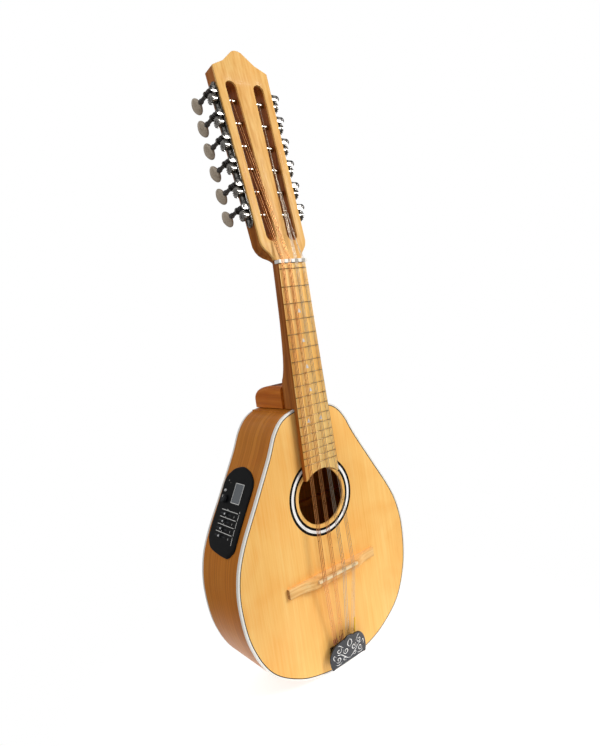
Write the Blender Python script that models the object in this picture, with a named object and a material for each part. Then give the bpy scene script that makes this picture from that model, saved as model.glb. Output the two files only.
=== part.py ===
"""Twelve-string mandolin: four triple courses, slotted head, open worm tuners, side preamp.

Metres. +Z runs up the neck, the soundboard faces -Y and the bass side is at -X.
The origin is inside the neck, level with the zero fret.
"""
import math

import bmesh
import bpy
from mathutils import Matrix, Vector

# Fits
FIT = 0.0003
CUT_OVERRUN = 0.004

# Strings and their spacing
SCALE_LENGTH = 0.350
FRET_COUNT = 17
COURSE_COUNT = 4
STRINGS_PER_COURSE = 3
COURSE_STEP_NUT = 0.0096
COURSE_STEP_SADDLE = 0.0150
COURSE_STEP_TAIL = 0.0086
STRING_STEP_NUT = 0.0017
STRING_STEP_SADDLE = 0.0022
STRING_STEP_TAIL = 0.0024
STRING_RADII = (0.00042, 0.00036, 0.00030, 0.00026)
STRING_SIDES = 4

# Fingerboard, frets and nut
BOARD_FACE_Y = -0.0116
BOARD_THICKNESS = 0.0060
BOARD_WIDTH_NUT = 0.0378
BOARD_WIDTH_END = 0.0478
BOARD_END_Z = -0.2365
BOARD_START_Z = 0.0060
BOARD_SCOOP_RADIUS = 0.0340
FRET_HEIGHT = 0.0010
FRET_WIDTH = 0.0018
FRET_SIDE_MARGIN = 0.0004
FRET_CROWN_SHARE = 0.2
NUT_LENGTH = 0.0040
NUT_OVERHANG = 0.0006
NUT_TOP_Y = -0.0142
NUT_NOTCH_WIDTH = 0.0014
NOTCH_FLOOR_SHARE = 0.6

# Body
SOUNDBOARD_Y = -0.0030
SOUNDBOARD_THICKNESS = 0.0026
BACK_THICKNESS = 0.0028
RIB_THICKNESS = 0.0024
DEPTH_AT_NECK = 0.0740
DEPTH_AT_TAIL = 0.0810
BINDING_WIDTH = 0.0022
BINDING_HEIGHT = 0.0035
LINING_WIDTH = 0.0060
LINING_HEIGHT = 0.0100
LINING_SQUARE_SHARE = 0.3
OUTLINE_STEPS = 21
FINE_OUTLINE_STEPS = 60
CURVE_FINE_STEPS = 20
OUTLINE_TURN_WEIGHT = 0.040
BODY_TOP_Z = -0.1546
BODY_TAIL_Z = -0.4696
BODY_HALF_OUTLINE = (
    (0.0000, BODY_TOP_Z),
    (0.0220, -0.1556),
    (0.0400, -0.1625),
    (0.0530, -0.1770),
    (0.0650, -0.2010),
    (0.0900, -0.2440),
    (0.1115, -0.2810),
    (0.1230, -0.3100),
    (0.1270, -0.3450),
    (0.1210, -0.3900),
    (0.1010, -0.4300),
    (0.0660, -0.4555),
    (0.0300, -0.4668),
    (0.0000, BODY_TAIL_Z),
)
SOUND_HOLE_Z = -0.2614
SOUND_HOLE_RADIUS = 0.0330
ROSETTE_INNER = 0.0372
ROSETTE_OUTER = 0.0461
ROSETTE_DEPTH = 0.0008
ROUND_STEPS = 24
BORE_SIDES = 10
BRACE_WIDTH = 0.0060
BRACE_HEIGHT = 0.0090
TOP_BRACE_Z = (-0.2060, -0.3180, -0.4000)
BACK_BRACE_Z = (-0.2100, -0.2900, -0.3750)
BRACE_END_GAP = 0.0030
BRACE_TIP_SHARE = 0.35
BRACE_FULL_SHARE = 0.60

# Neck, heel and neck joint
NECK_SIDE_STEPS = 8
NECK_STATIONS = (
    (0.0100, 0.0150, 0.85),
    (0.0000, 0.0152, 0.85),
    (-0.0300, 0.0158, 0.85),
    (-0.0600, 0.0170, 0.85),
    (-0.0900, 0.0207, 0.85),
    (-0.1080, 0.0215, 0.60),
    (-0.1180, 0.0252, 0.55),
    (-0.1260, 0.0285, 0.50),
    (BODY_TOP_Z + FIT, 0.0285, 0.45),
)
TONGUE_END_Z = -0.2250
TONGUE_INSET = 0.0020
TONGUE_STEP = 0.0001
HEEL_FRONT_Y = 0.0160
HEEL_TOP_Z = -0.1288
HEEL_ROUND = (0.0460, 0.0150)
HEEL_ROUND_STEPS = 6
HEEL_BACK_MARGIN = 0.0003
HEEL_ACROSS = ((0.0168, 0.0), (0.0205, 0.0014), (0.0222, 0.0055))
HEEL_BACK_SHARE = 0.15
HEEL_HOLLOW = (0.0160, 0.0150, 0.0080)
HEEL_HOLLOW_Y = 0.0365
TENON_HALF_WIDTH = 0.0120
TENON_LENGTH = 0.0180
TENON_FRONT_Y = 0.0090
TENON_BACK_Y = 0.0600
NECK_BLOCK_HALF_WIDTH = 0.0300
NECK_BLOCK_LENGTH = 0.0200
TAIL_BLOCK_HALF_WIDTH = 0.0320
TAIL_BLOCK_LENGTH = 0.0180

# Head
HEAD_TILT = math.radians(9.5)
HEAD_FACE_Y = -0.0056
HEAD_START_Z = 0.0100
HEAD_THICKNESS = 0.0180
VENEER_THICKNESS = 0.0025
HEAD_HALF_WIDTH_LOW = 0.0314
HEAD_SIDE_SLOPE = 0.0245
HEAD_CORNER_S = 0.2225
HEAD_SHOULDER = (
    (0.0196, 0.0010),
    (0.0203, 0.0040),
    (0.0228, 0.0080),
    (0.0262, 0.0118),
    (0.0294, 0.0160),
    (0.0314, 0.0215),
)
HEAD_THROAT = (
    (-0.0005, 0.0192, 0.0036, 0.0106, 0.0148),
    (0.0010, 0.0196, 0.0052, 0.0114, 0.0152),
    (0.0040, 0.0203, 0.0108, 0.0140, 0.0160),
    (0.0080, 0.0228, 0.0158, 0.0168, 0.0173),
    (0.0118, 0.0262, HEAD_THICKNESS, HEAD_THICKNESS, HEAD_THICKNESS),
)
THROAT_ACROSS = (1.00, 0.76, 0.36)
HEAD_CREST = (
    (0.0290, 0.2262),
    (0.0210, 0.2300),
    (0.0130, 0.2372),
    (0.0065, 0.2430),
    (0.0028, 0.2445),
)
SLOT_INSET = 0.0172
SLOT_WIDTH = 0.0140
SLOT_TOP_S = 0.2065
SLOT_BOTTOM_S = 0.0225
SLOT_END_STEPS = 5
SLOT_RAMP_LENGTH = 0.0120

# Tuners: one worm shaft and one geared string roller at each station
TUNERS_PER_SIDE = 6
ROLLER_TOP_S = 0.1869
TUNER_STEP = 0.0265
ROLLER_OFF = 0.0082
ROLLER_RADIUS = 0.0028
ROLLER_HOLE_CLEARANCE = 0.0005
ROLLER_TIP_DEPTH = 0.0045
ROUND_SIDES = 8
GEAR_TEETH = 14
GEAR_PITCH_RADIUS = 0.0056
GEAR_ADDENDUM = 0.0006
GEAR_DEDENDUM = 0.0009
GEAR_TIP_HALF = 0.00034
GEAR_ROOT_HALF = 0.00072
GEAR_WIDTH = 0.0026
WORM_OUT = 0.0078
WORM_PITCH_RADIUS = 0.0026
WORM_CREST_RADIUS = 0.0032
WORM_ROOT_RADIUS = 0.0017
WORM_CREST_HALF = 0.00028
WORM_ROOT_HALF = 0.00080
WORM_LENGTH = 0.0070
WORM_CREST_AZIMUTH = 0.25
COLLAR_RADIUS = 0.0046
SCREW_RADIUS = 0.0034
SCREW_HEIGHT = 0.0008
SCREW_SET_BACK = 0.0002
JOURNAL_RADIUS = 0.0014
SHAFT_RADIUS = 0.0022
SHAFT_COLLAR_RADIUS = 0.0030
THRUST_RADIUS = 0.0025
THRUST_LENGTH = 0.0012
SHAFT_COLLAR_OFF = (0.0260, 0.0294)
SHAFT_COLLAR_CHAMFER = 0.0005
PIN_STAND_OUT = 0.0010
BUTTON_OFF = 0.0376
BUTTON_TURN = math.radians(20.0)
BUTTON_HALF_LENGTH = 0.0076
BUTTON_HALF_WIDTH = 0.0094
BUTTON_HALF_THICKNESS = 0.0026
BUTTON_ROWS = (-0.92, -0.55, 0.55, 0.92)
BUTTON_RIM_SHARE = 0.65
PLATE_THICKNESS = 0.0012
PLATE_WIDTH = 0.0120
PLATE_END = 0.0200
PLATE_FOOT = 0.0135
PLATE_END_STEPS = 6
LUG_THICKNESS = 0.0012
LUG_LAP = 0.0002
LUG_BORE_SIDES = 6
LUG_ARC_STEPS = 3
LUG_RADII = (0.0034, 0.0040)
WINDING_TURNS = 2
WINDING_PITCH = 0.0012
WINDING_HEIGHT = 0.0007
WINDING_OUT = -0.0170

# Bridge
BRIDGE_Z = -0.3530
BRIDGE_HALF_LENGTH = 0.0665
BRIDGE_HALF_WIDTH = 0.0055
BRIDGE_HEIGHT = 0.0105
BRIDGE_WING_HEIGHT = 0.0045
BRIDGE_CENTRE_HALF = 0.0330
BRIDGE_ARC_LENGTH = 0.0220
BRIDGE_ARC_STEPS = 4
BRIDGE_TIP_DROP = 0.0008
BRIDGE_TIP_CHAMFER = 0.0012
SADDLE_HALF_LENGTH = 0.0300
SADDLE_THICKNESS = 0.0030
SADDLE_SEAT_DEPTH = 0.0025
SADDLE_TOP_Y = -0.0166
SADDLE_NOTCH_DEPTH = 0.0006
SADDLE_Z = -0.3510
SADDLE_REST_SHARE = 0.4

# Tailpiece
TAIL_SHEET = 0.0012
TAIL_TOP_HALF_WIDTH = 0.0196
TAIL_TOP_END_Z = -0.4390
TAIL_LOW_Z = -0.4650
TAIL_FOOT_HALF_WIDTH = 0.0140
TAIL_HOOK_Z = -0.4470
TAIL_GUIDE_X = 0.0200
TAIL_GUIDE_Z = (-0.4590, -0.4440)
TAIL_GUIDE_TOP_Y = -0.0108
HOOK_HEIGHT = 0.0045
HOOK_HALF_WIDTH = 0.0006
HOOK_LENGTH = 0.0030
HOOK_SET_BACK = 0.0012
HOOK_STRING_SHARE = 0.6
COVER_RIM_Y = -0.0124
COVER_DOME = 0.0008
COVER_ARCH = 0.0050
COVER_SHEET = 0.0008
COVER_LIP_DEPTH = 0.0016
COVER_TOP_Z = -0.4270
COVER_HALF_OUTLINE = (
    (0.0000, 0.0000),
    (0.0050, -0.0010),
    (0.0076, -0.0028),
    (0.0121, -0.0028),
    (0.0170, -0.0044),
    (0.0213, -0.0073),
    (0.0248, -0.0114),
    (0.0272, -0.0163),
    (0.0282, -0.0220),
    (0.0279, -0.0273),
    (0.0268, -0.0325),
    (0.0257, -0.0342),
    (0.0225, -0.0333),
)
COVER_RINGS = (1.0, 0.94)

# Preamp on the bass side
PREAMP_TOP_Z = -0.2100
PREAMP_LOW_Z = -0.2940
PREAMP_FRONT_Y = 0.0090
PREAMP_BACK_Y = 0.0665
PREAMP_PLATE = 0.0014
PREAMP_BOX_ALONG = (-0.0380, 0.0300)
PREAMP_BOX_HALF_WIDTH = 0.0245
PREAMP_BOX_DEPTH = 0.0200
PREAMP_CENTRE_Z = -0.2500
PREAMP_BOX_LAP = 0.0010
PREAMP_STAMP_HALF_DEPTH = 0.0150
PREAMP_OUTLINE = (
    (0.0442, 0.0000),
    (0.0417, 0.0120),
    (0.0377, 0.0200),
    (0.0267, 0.0287),
    (-0.0360, 0.0287),
    (-0.0440, 0.0262),
    (-0.0505, 0.0200),
    (-0.0535, 0.0050),
    (-0.0546, -0.0110),
    (-0.0538, -0.0180),
    (-0.0490, -0.0240),
    (-0.0400, -0.0287),
    (0.0267, -0.0287),
    (0.0377, -0.0200),
    (0.0417, -0.0120),
)
DISPLAY_CENTRE = (0.0138, -0.0032)
DISPLAY_SIZE = (0.0220, 0.0162)
DISPLAY_DEPTH = 0.0007
PANEL_CUT_TOP = 0.0100
SLIDER_COUNT = 4
SLIDER_STEP = 0.0080
SLIDER_FIRST = -0.0106
SLIDER_ACROSS = 0.0046
SLIDER_SLOT = (-0.0060, 0.0152)
SLIDER_SLOT_WIDTH = 0.0018
SLIDER_SLOT_DEPTH = 0.0016
SLIDER_CAP = (0.0034, 0.0044, 0.0028)
SLIDER_CAP_LIFT = 0.0005
SLIDER_CAP_TAPER = 0.7
KNOB_PLACE = (0.0052, 0.0174)
KNOB_RADIUS = 0.0046
KNOB_HEIGHT = 0.0040
KNOB_STEM_RADIUS = 0.0016
KNOB_LIFT = 0.0006
KNOB_SIDE_SHARE = 0.7
KNOB_TOP_SHARE = 0.8
KNOB_SIDES = 12
TUNE_BUTTON_PLACE = (0.0143, 0.0202)
TUNE_BUTTON_RADIUS = 0.0017
TUNE_BUTTON_HEIGHT = 0.0016
TUNE_BUTTON_TAPER = 0.7
TUNE_BUTTON_TRAVEL = 0.0010
STEM_DEPTH = 0.0014

# Output jack
JACK_X = 0.0700
JACK_Z = -0.4540
JACK_Y = 0.0360
JACK_FLANGE_RADIUS = 0.0090
JACK_BARREL_RADIUS = 0.0060
JACK_LENGTH = 0.0260
JACK_END_SHARE = 0.8
JACK_END_CHAMFER = 0.0010
JACK_FLANGE_LIFT = 0.0004
JACK_FLANGE_THICKNESS = 0.0012
JACK_TOP = 0.0030
JACK_TOP_SHARE = 0.75
JACK_SOCKET_RADIUS = 0.0034
JACK_SOCKET_DEPTH = 0.0180

# Worked out from the above
BOARD_BACK_Y = BOARD_FACE_Y + BOARD_THICKNESS
NECK_SEAT_Y = BOARD_BACK_Y + FIT
FRET_TOP_Y = BOARD_FACE_Y - FRET_HEIGHT
GEAR_PITCH = 2.0 * math.pi * GEAR_PITCH_RADIUS / GEAR_TEETH
WORM_SPACING = GEAR_PITCH_RADIUS + WORM_PITCH_RADIUS


def clear_scene():
    for item in list(bpy.data.objects):
        bpy.data.objects.remove(item, do_unlink=True)


def make_material(name, colour, roughness, metallic=0.0):
    material = bpy.data.materials.new(name)
    material.use_nodes = True
    shader = material.node_tree.nodes["Principled BSDF"]
    shader.inputs["Base Color"].default_value = (*colour, 1.0)
    shader.inputs["Roughness"].default_value = roughness
    shader.inputs["Metallic"].default_value = metallic
    material.diffuse_color = (*colour, 1.0)
    return material


def make_materials():
    return {
        "pale_wood": make_material("pale_wood", (0.83, 0.56, 0.24), 0.28),
        "amber_wood": make_material("amber_wood", (0.46, 0.22, 0.07), 0.22),
        "neck_wood": make_material("neck_wood", (0.24, 0.11, 0.045), 0.32),
        "board_wood": make_material("board_wood", (0.70, 0.42, 0.17), 0.45),
        "ivory_plastic": make_material("ivory_plastic", (0.85, 0.83, 0.78), 0.30),
        "rosette_inlay": make_material("rosette_inlay", (0.10, 0.10, 0.10), 0.30),
        "nickel": make_material("nickel", (0.62, 0.61, 0.60), 0.28, 1.0),
        "dark_nickel": make_material("dark_nickel", (0.22, 0.23, 0.24), 0.30, 1.0),
        "bronze_wire": make_material("bronze_wire", (0.62, 0.34, 0.16), 0.35, 1.0),
        "steel_wire": make_material("steel_wire", (0.60, 0.60, 0.60), 0.25, 1.0),
        "black_plastic": make_material("black_plastic", (0.012, 0.013, 0.015), 0.35),
    }


def new_collection(name):
    collection = bpy.data.collections.new(name)
    bpy.context.scene.collection.children.link(collection)
    return collection


def add_empty(name, collection, location, rotation=(0.0, 0.0, 0.0), parent=None):
    empty = bpy.data.objects.new(name, None)
    empty.location = location
    empty.rotation_euler = rotation
    empty.parent = parent
    collection.objects.link(empty)
    return empty


def add_object(name, mesh_builder, collection, material=None, parent=None):
    """Turn a bmesh into a named object with outward faces."""
    bmesh.ops.recalc_face_normals(mesh_builder, faces=mesh_builder.faces)
    mesh = bpy.data.meshes.new(name)
    mesh_builder.to_mesh(mesh)
    mesh_builder.free()
    item = bpy.data.objects.new(name, mesh)
    item.parent = parent
    if material is not None:
        mesh.materials.append(material)
        for polygon in mesh.polygons:
            polygon.use_smooth = True
        mesh.set_sharp_from_angle(angle=math.radians(35.0))
    collection.objects.link(item)
    return item


def combine(target, tool, operation, cutters):
    """Add a boolean of the tool to the target; the tool stays as a hidden cutter."""
    for owner in list(tool.users_collection):
        owner.objects.unlink(tool)
    cutters.objects.link(tool)
    tool.hide_render = True
    tool.display_type = "WIRE"
    step = target.modifiers.new(f"{operation.lower()} {tool.name}", "BOOLEAN")
    step.operation = operation
    step.solver = "EXACT"
    step.object = tool


def prism(points, low, high, axis="Y", builder=None):
    """Solid between two planes of one axis; points hold the other two coordinates in order."""
    builder = builder or bmesh.new()
    corners = []
    for first, second in points:
        if axis == "Y":
            place = (first, low, second)
        elif axis == "Z":
            place = (first, second, low)
        else:
            place = (low, first, second)
        corners.append(builder.verts.new(place))
    face = builder.faces.new(corners)
    grown = bmesh.ops.extrude_face_region(builder, geom=[face])
    moved = [part for part in grown["geom"] if isinstance(part, bmesh.types.BMVert)]
    shift = {"X": Vector((high - low, 0, 0)), "Y": Vector((0, high - low, 0)), "Z": Vector((0, 0, high - low))}
    bmesh.ops.translate(builder, verts=moved, vec=shift[axis])
    return builder


def box(low, high, builder=None):
    corners = ((low[0], low[2]), (high[0], low[2]), (high[0], high[2]), (low[0], high[2]))
    return prism(corners, low[1], high[1], "Y", builder)


def circle(radius, steps, centre=(0.0, 0.0), turn=0.0):
    points = []
    for index in range(steps):
        angle = turn + 2.0 * math.pi * index / steps
        points.append((centre[0] + radius * math.cos(angle), centre[1] + radius * math.sin(angle)))
    return points


def loft(rings, closed=False):
    """Skin a run of rings that have equal counts; ends get a face unless the run is closed."""
    builder = bmesh.new()
    rows = [[builder.verts.new(point) for point in ring] for ring in rings]
    pairs = list(zip(rows, rows[1:]))
    if closed:
        pairs.append((rows[-1], rows[0]))
    for lower, upper in pairs:
        for index in range(len(lower)):
            after = (index + 1) % len(lower)
            builder.faces.new((lower[index], lower[after], upper[after], upper[index]))
    if not closed:
        builder.faces.new(rows[0])
        builder.faces.new(rows[-1])
    return builder


def section(z, half_x, half_y, sides):
    return [(half_x * math.cos(a), half_y * math.sin(a), z) for a in
            (2.0 * math.pi * (index + 0.5) / sides for index in range(sides))]


def helix_rows(low, high, pitch, profile, phase, sides):
    """Rows of a right-hand thread between two heights.

    The profile lists (share of the pitch, radius, core radius). Each row climbs one pitch
    in a turn, and heights are held between the two ends, where the ridge has run out.
    """
    columns = [[] for _ in range(sides)]
    first = math.floor((low - phase) / pitch) - 2
    last = math.ceil((high - phase) / pitch) + 1
    for column in range(sides):
        turn = (column + 0.5) / sides
        for lap in range(first, last + 1):
            for share, radius, core in profile:
                height = phase + (lap + share + turn) * pitch
                held = min(max(height, low), high)
                run_in = min((held - low), (high - held)) / (0.5 * pitch)
                reach = core + (radius - core) * min(max(run_in, 0.0), 1.0)
                columns[column].append((reach, held))
    return columns, len(profile)


def threaded_shaft(before, thread, after, sides):
    """Turned shaft along +Z with a threaded stretch between two runs of plain rings."""
    low, high, pitch, profile, phase = thread
    columns, per_lap = helix_rows(low, high, pitch, profile, phase, sides)
    builder = bmesh.new()
    grid = []
    for column, entries in enumerate(columns):
        angle = 2.0 * math.pi * (column + 0.5) / sides
        grid.append([builder.verts.new((r * math.cos(angle), r * math.sin(angle), z)) for r, z in entries])
    rows = len(grid[0])
    for column in range(sides):
        wraps = column + 1 == sides
        neighbour = grid[0] if wraps else grid[column + 1]
        lift = per_lap if wraps else 0
        for row in range(rows - 1 - lift):
            builder.faces.new((grid[column][row], neighbour[row + lift],
                               neighbour[row + lift + 1], grid[column][row + 1]))
    bmesh.ops.remove_doubles(builder, verts=builder.verts, dist=1e-6)
    loose = [face for face in builder.faces if face.calc_area() < 1e-14]
    bmesh.ops.delete(builder, geom=loose, context="FACES_ONLY")
    for rings, height, end in ((before, low, 0), (after, high, -1)):
        rim = [vert for vert in builder.verts if abs(vert.co.z - height) < 1e-7 and vert.is_boundary]
        rim.sort(key=lambda vert: math.atan2(vert.co.y, vert.co.x))
        previous = rim
        for ring in rings:
            ordered = sorted(ring, key=lambda point: math.atan2(point[1], point[0]))
            current = [builder.verts.new(point) for point in ordered]
            for index in range(sides):
                following = (index + 1) % sides
                builder.faces.new((previous[index], previous[following], current[following], current[index]))
            previous = current
        builder.faces.new(previous)
    return builder


def smooth_half_outline(knots, steps):
    """Catmull-Rom curve through half an outline, sampled more closely where it turns."""
    dense = []
    count = len(knots)
    start = (-knots[1][0], knots[1][1])
    finish = (-knots[-2][0], knots[-2][1])
    padded = [start, *knots, finish]
    for index in range(count - 1):
        p0, p1, p2, p3 = (Vector(padded[index + step]) for step in range(4))
        for fine in range(CURVE_FINE_STEPS):
            t = fine / CURVE_FINE_STEPS
            place = 0.5 * (2.0 * p1 + (p2 - p0) * t + (2.0 * p0 - 5.0 * p1 + 4.0 * p2 - p3) * t * t
                           + (3.0 * p1 - p0 - 3.0 * p2 + p3) * t ** 3)
            dense.append(place)
    dense.append(Vector(knots[-1]))
    lengths = [0.0]
    heading = dense[1] - dense[0]
    for before, after in zip(dense, dense[1:]):
        step = after - before
        lengths.append(lengths[-1] + step.length + OUTLINE_TURN_WEIGHT * step.angle(heading))
        heading = step
    picked = []
    cursor = 0
    for index in range(steps + 1):
        wanted = lengths[-1] * index / steps
        while cursor < len(dense) - 2 and lengths[cursor + 1] < wanted:
            cursor += 1
        share = (wanted - lengths[cursor]) / (lengths[cursor + 1] - lengths[cursor])
        picked.append(dense[cursor].lerp(dense[cursor + 1], min(share, 1.0)))
    return picked


def body_outline(inset=0.0, steps=OUTLINE_STEPS):
    """Closed body outline in X and Z, moved inwards by the inset."""
    half = smooth_half_outline(BODY_HALF_OUTLINE, steps)
    whole = half + [Vector((-point.x, point.y)) for point in reversed(half[1:-1])]
    moved = []
    count = len(whole)
    for index, point in enumerate(whole):
        along = (whole[(index + 1) % count] - whole[index - 1]).normalized()
        inwards = Vector((along.y, -along.x))
        moved.append((point.x + inwards.x * inset, point.y + inwards.y * inset))
    return moved


def back_face_y(z):
    """Outer face of the back, which drops from the neck to the tail."""
    share = (BODY_TOP_Z - z) / (BODY_TOP_Z - BODY_TAIL_Z)
    return SOUNDBOARD_Y + DEPTH_AT_NECK + (DEPTH_AT_TAIL - DEPTH_AT_NECK) * share


def sweep_outline(profile):
    """Sweep a closed profile round the body; each profile point is (inset, height, from_back)."""
    insets = sorted({point[0] for point in profile})
    outlines = {inset: body_outline(inset) for inset in insets}
    stations = len(outlines[insets[0]])
    rings = []
    for station in range(stations):
        ring = []
        for inset, height, from_back in profile:
            x, z = outlines[inset][station]
            y = back_face_y(z) - height if from_back else SOUNDBOARD_Y + height
            ring.append((x, y, z))
        rings.append(ring)
    return loft(rings, closed=True)


def lean_to_back(builder, height):
    """Shear a flat solid built at y = 0 so that y counts inwards from the back's outer face."""
    for vert in builder.verts:
        vert.co.y = back_face_y(vert.co.z) - height - vert.co.y
    return builder


def half_width_inside(z, inset):
    """Half width of the body's inner outline at a height."""
    points = [point for point in body_outline(inset, FINE_OUTLINE_STEPS) if point[0] >= 0.0]
    best = 0.0
    for (x0, z0), (x1, z1) in zip(points, points[1:]):
        if min(z0, z1) <= z <= max(z0, z1) and abs(z1 - z0) > 1e-9:
            best = max(best, x0 + (x1 - x0) * (z - z0) / (z1 - z0))
    return best


def fret_z(number):
    return -SCALE_LENGTH * (1.0 - 2.0 ** (-number / 12.0))


def board_half_width(z):
    share = z / fret_z(FRET_COUNT)
    return 0.5 * (BOARD_WIDTH_NUT + (BOARD_WIDTH_END - BOARD_WIDTH_NUT) * share)


def head_half_width(s):
    return HEAD_HALF_WIDTH_LOW + HEAD_SIDE_SLOPE * (s - HEAD_SHOULDER[-1][1])


def head_outline():
    corner = (head_half_width(HEAD_CORNER_S), HEAD_CORNER_S)
    right = [*HEAD_SHOULDER, corner, *HEAD_CREST]
    return right + [(-x, s) for x, s in reversed(right)]


def slot_outline(side):
    """Round-ended slot beside the head's side, in head coordinates."""
    radius = 0.5 * SLOT_WIDTH
    points = []
    for end_s, start in ((SLOT_TOP_S - radius, 0.0), (SLOT_BOTTOM_S + radius, math.pi)):
        centre = head_half_width(end_s) - SLOT_INSET
        for index in range(SLOT_END_STEPS + 1):
            angle = start + math.pi * index / SLOT_END_STEPS
            points.append((side * (centre + radius * math.cos(angle)), end_s + radius * math.sin(angle)))
    return points


def side_names():
    return ((-1.0, "bass"), (1.0, "treble"))


def rail_rotation(side):
    return (0.0, side * math.atan(HEAD_SIDE_SLOPE), 0.0)


def rail_origin(side):
    return (side * (HEAD_HALF_WIDTH_LOW - HEAD_SIDE_SLOPE * HEAD_SHOULDER[-1][1]), 0.0, 0.0)


def roller_s(index):
    return ROLLER_TOP_S - TUNER_STEP * index


def build_soundboard(parts, cutters, material):
    edge = BINDING_WIDTH + FIT
    board = add_object("soundboard", prism(body_outline(edge), SOUNDBOARD_Y,
                                           SOUNDBOARD_Y + SOUNDBOARD_THICKNESS), parts, material)
    hole = prism(circle(SOUND_HOLE_RADIUS, ROUND_STEPS, (0.0, SOUND_HOLE_Z)),
                 SOUNDBOARD_Y - CUT_OVERRUN, SOUNDBOARD_Y + SOUNDBOARD_THICKNESS + CUT_OVERRUN)
    combine(board, add_object("sound_hole_cut", hole, cutters), "DIFFERENCE", cutters)
    groove = add_object("rosette_groove", ring_solid(ROSETTE_INNER - FIT, ROSETTE_OUTER + FIT,
                                                     SOUNDBOARD_Y - CUT_OVERRUN,
                                                     SOUNDBOARD_Y + ROSETTE_DEPTH + FIT), cutters)
    combine(board, groove, "DIFFERENCE", cutters)
    under = SOUNDBOARD_Y + SOUNDBOARD_THICKNESS
    for number, z in enumerate(TOP_BRACE_Z, start=1):
        reach = half_width_inside(z, RIB_THICKNESS + LINING_WIDTH + BRACE_END_GAP)
        brace = add_object(f"top_brace_{number}", brace_solid(reach, under - FIT, under + BRACE_HEIGHT, z), cutters)
        combine(board, brace, "UNION", cutters)
    return board


def brace_solid(reach, seat, crest, z):
    """Cross brace: full height in the middle, swept down to thin ends."""
    low = seat + BRACE_TIP_SHARE * (crest - seat)
    full = BRACE_FULL_SHARE * reach
    points = ((-reach, seat), (reach, seat), (reach, low), (full, crest), (-full, crest), (-reach, low))
    return prism(points, z - 0.5 * BRACE_WIDTH, z + 0.5 * BRACE_WIDTH, "Z")


def ring_solid(inner, outer, low, high):
    """Flat ring round the sound hole's centre."""
    rings = []
    for index in range(ROUND_STEPS):
        angle = 2.0 * math.pi * index / ROUND_STEPS
        across = Vector((math.cos(angle), math.sin(angle)))
        rings.append([(across.x * radius, y, SOUND_HOLE_Z + across.y * radius)
                      for radius, y in ((inner, low), (outer, low), (outer, high), (inner, high))])
    return loft(rings, closed=True)


def build_rosette(parts, material):
    add_object("rosette", ring_solid(ROSETTE_INNER, ROSETTE_OUTER, SOUNDBOARD_Y,
                                     SOUNDBOARD_Y + ROSETTE_DEPTH), parts, material)


def build_back(parts, cutters, material):
    edge = BINDING_WIDTH + FIT
    plate = lean_to_back(prism(body_outline(edge), 0.0, BACK_THICKNESS), 0.0)
    back = add_object("back_plate", plate, parts, material)
    for number, z in enumerate(BACK_BRACE_Z, start=1):
        reach = half_width_inside(z, RIB_THICKNESS + LINING_WIDTH + BRACE_END_GAP)
        brace = brace_solid(reach, BACK_THICKNESS - FIT, BACK_THICKNESS + BRACE_HEIGHT, z)
        tool = add_object(f"back_brace_{number}", lean_to_back(brace, 0.0), cutters)
        combine(back, tool, "UNION", cutters)
    return back


def build_bindings(parts, material):
    for name, from_back in (("top_binding", False), ("back_binding", True)):
        profile = ((0.0, 0.0, from_back), (BINDING_WIDTH, 0.0, from_back),
                   (BINDING_WIDTH, BINDING_HEIGHT, from_back), (0.0, BINDING_HEIGHT, from_back))
        add_object(name, sweep_outline(profile), parts, material)


def build_sides(parts, cutters, material):
    step_in = BINDING_WIDTH + FIT
    deep = RIB_THICKNESS + LINING_WIDTH
    top_seat = SOUNDBOARD_THICKNESS + FIT
    back_seat = BACK_THICKNESS + FIT
    rim = BINDING_HEIGHT + FIT
    profile = (
        (0.0, rim, False),
        (step_in, rim, False),
        (step_in, top_seat, False),
        (deep, top_seat, False),
        (deep, top_seat + LINING_SQUARE_SHARE * LINING_HEIGHT, False),
        (RIB_THICKNESS, top_seat + LINING_HEIGHT, False),
        (RIB_THICKNESS, back_seat + LINING_HEIGHT, True),
        (deep, back_seat + LINING_SQUARE_SHARE * LINING_HEIGHT, True),
        (deep, back_seat, True),
        (step_in, back_seat, True),
        (step_in, rim, True),
        (0.0, rim, True),
    )
    sides = add_object("sides", sweep_outline(profile), parts, material)
    front = SOUNDBOARD_Y + rim
    for name, half, high, low in (
        ("neck_block", NECK_BLOCK_HALF_WIDTH, BODY_TOP_Z - 0.5 * RIB_THICKNESS, BODY_TOP_Z - NECK_BLOCK_LENGTH),
        ("tail_block", TAIL_BLOCK_HALF_WIDTH, BODY_TAIL_Z + TAIL_BLOCK_LENGTH, BODY_TAIL_Z + 0.5 * RIB_THICKNESS),
    ):
        reach = back_face_y(max(high, low)) - rim
        points = block_outline(half, high, low)
        block = add_object(name, prism(points, front, reach), cutters)
        combine(sides, block, "UNION", cutters)
    slack = FIT
    mortise = box((-TENON_HALF_WIDTH - slack, TENON_FRONT_Y - slack, BODY_TOP_Z - NECK_BLOCK_LENGTH - CUT_OVERRUN),
                  (TENON_HALF_WIDTH + slack, TENON_BACK_Y + slack, BODY_TOP_Z + CUT_OVERRUN))
    combine(sides, add_object("mortise_cut", mortise, cutters), "DIFFERENCE", cutters)
    window = add_object("preamp_window", preamp_box(FIT, CUT_OVERRUN, PREAMP_BOX_DEPTH), cutters)
    combine(sides, window, "DIFFERENCE", cutters)
    jack = add_object("jack_hole", round_bar(JACK_BARREL_RADIUS + FIT, BORE_SIDES, -JACK_LENGTH, CUT_OVERRUN), cutters)
    jack.matrix_world = jack_frame()
    combine(sides, jack, "DIFFERENCE", cutters)
    return sides


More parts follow.
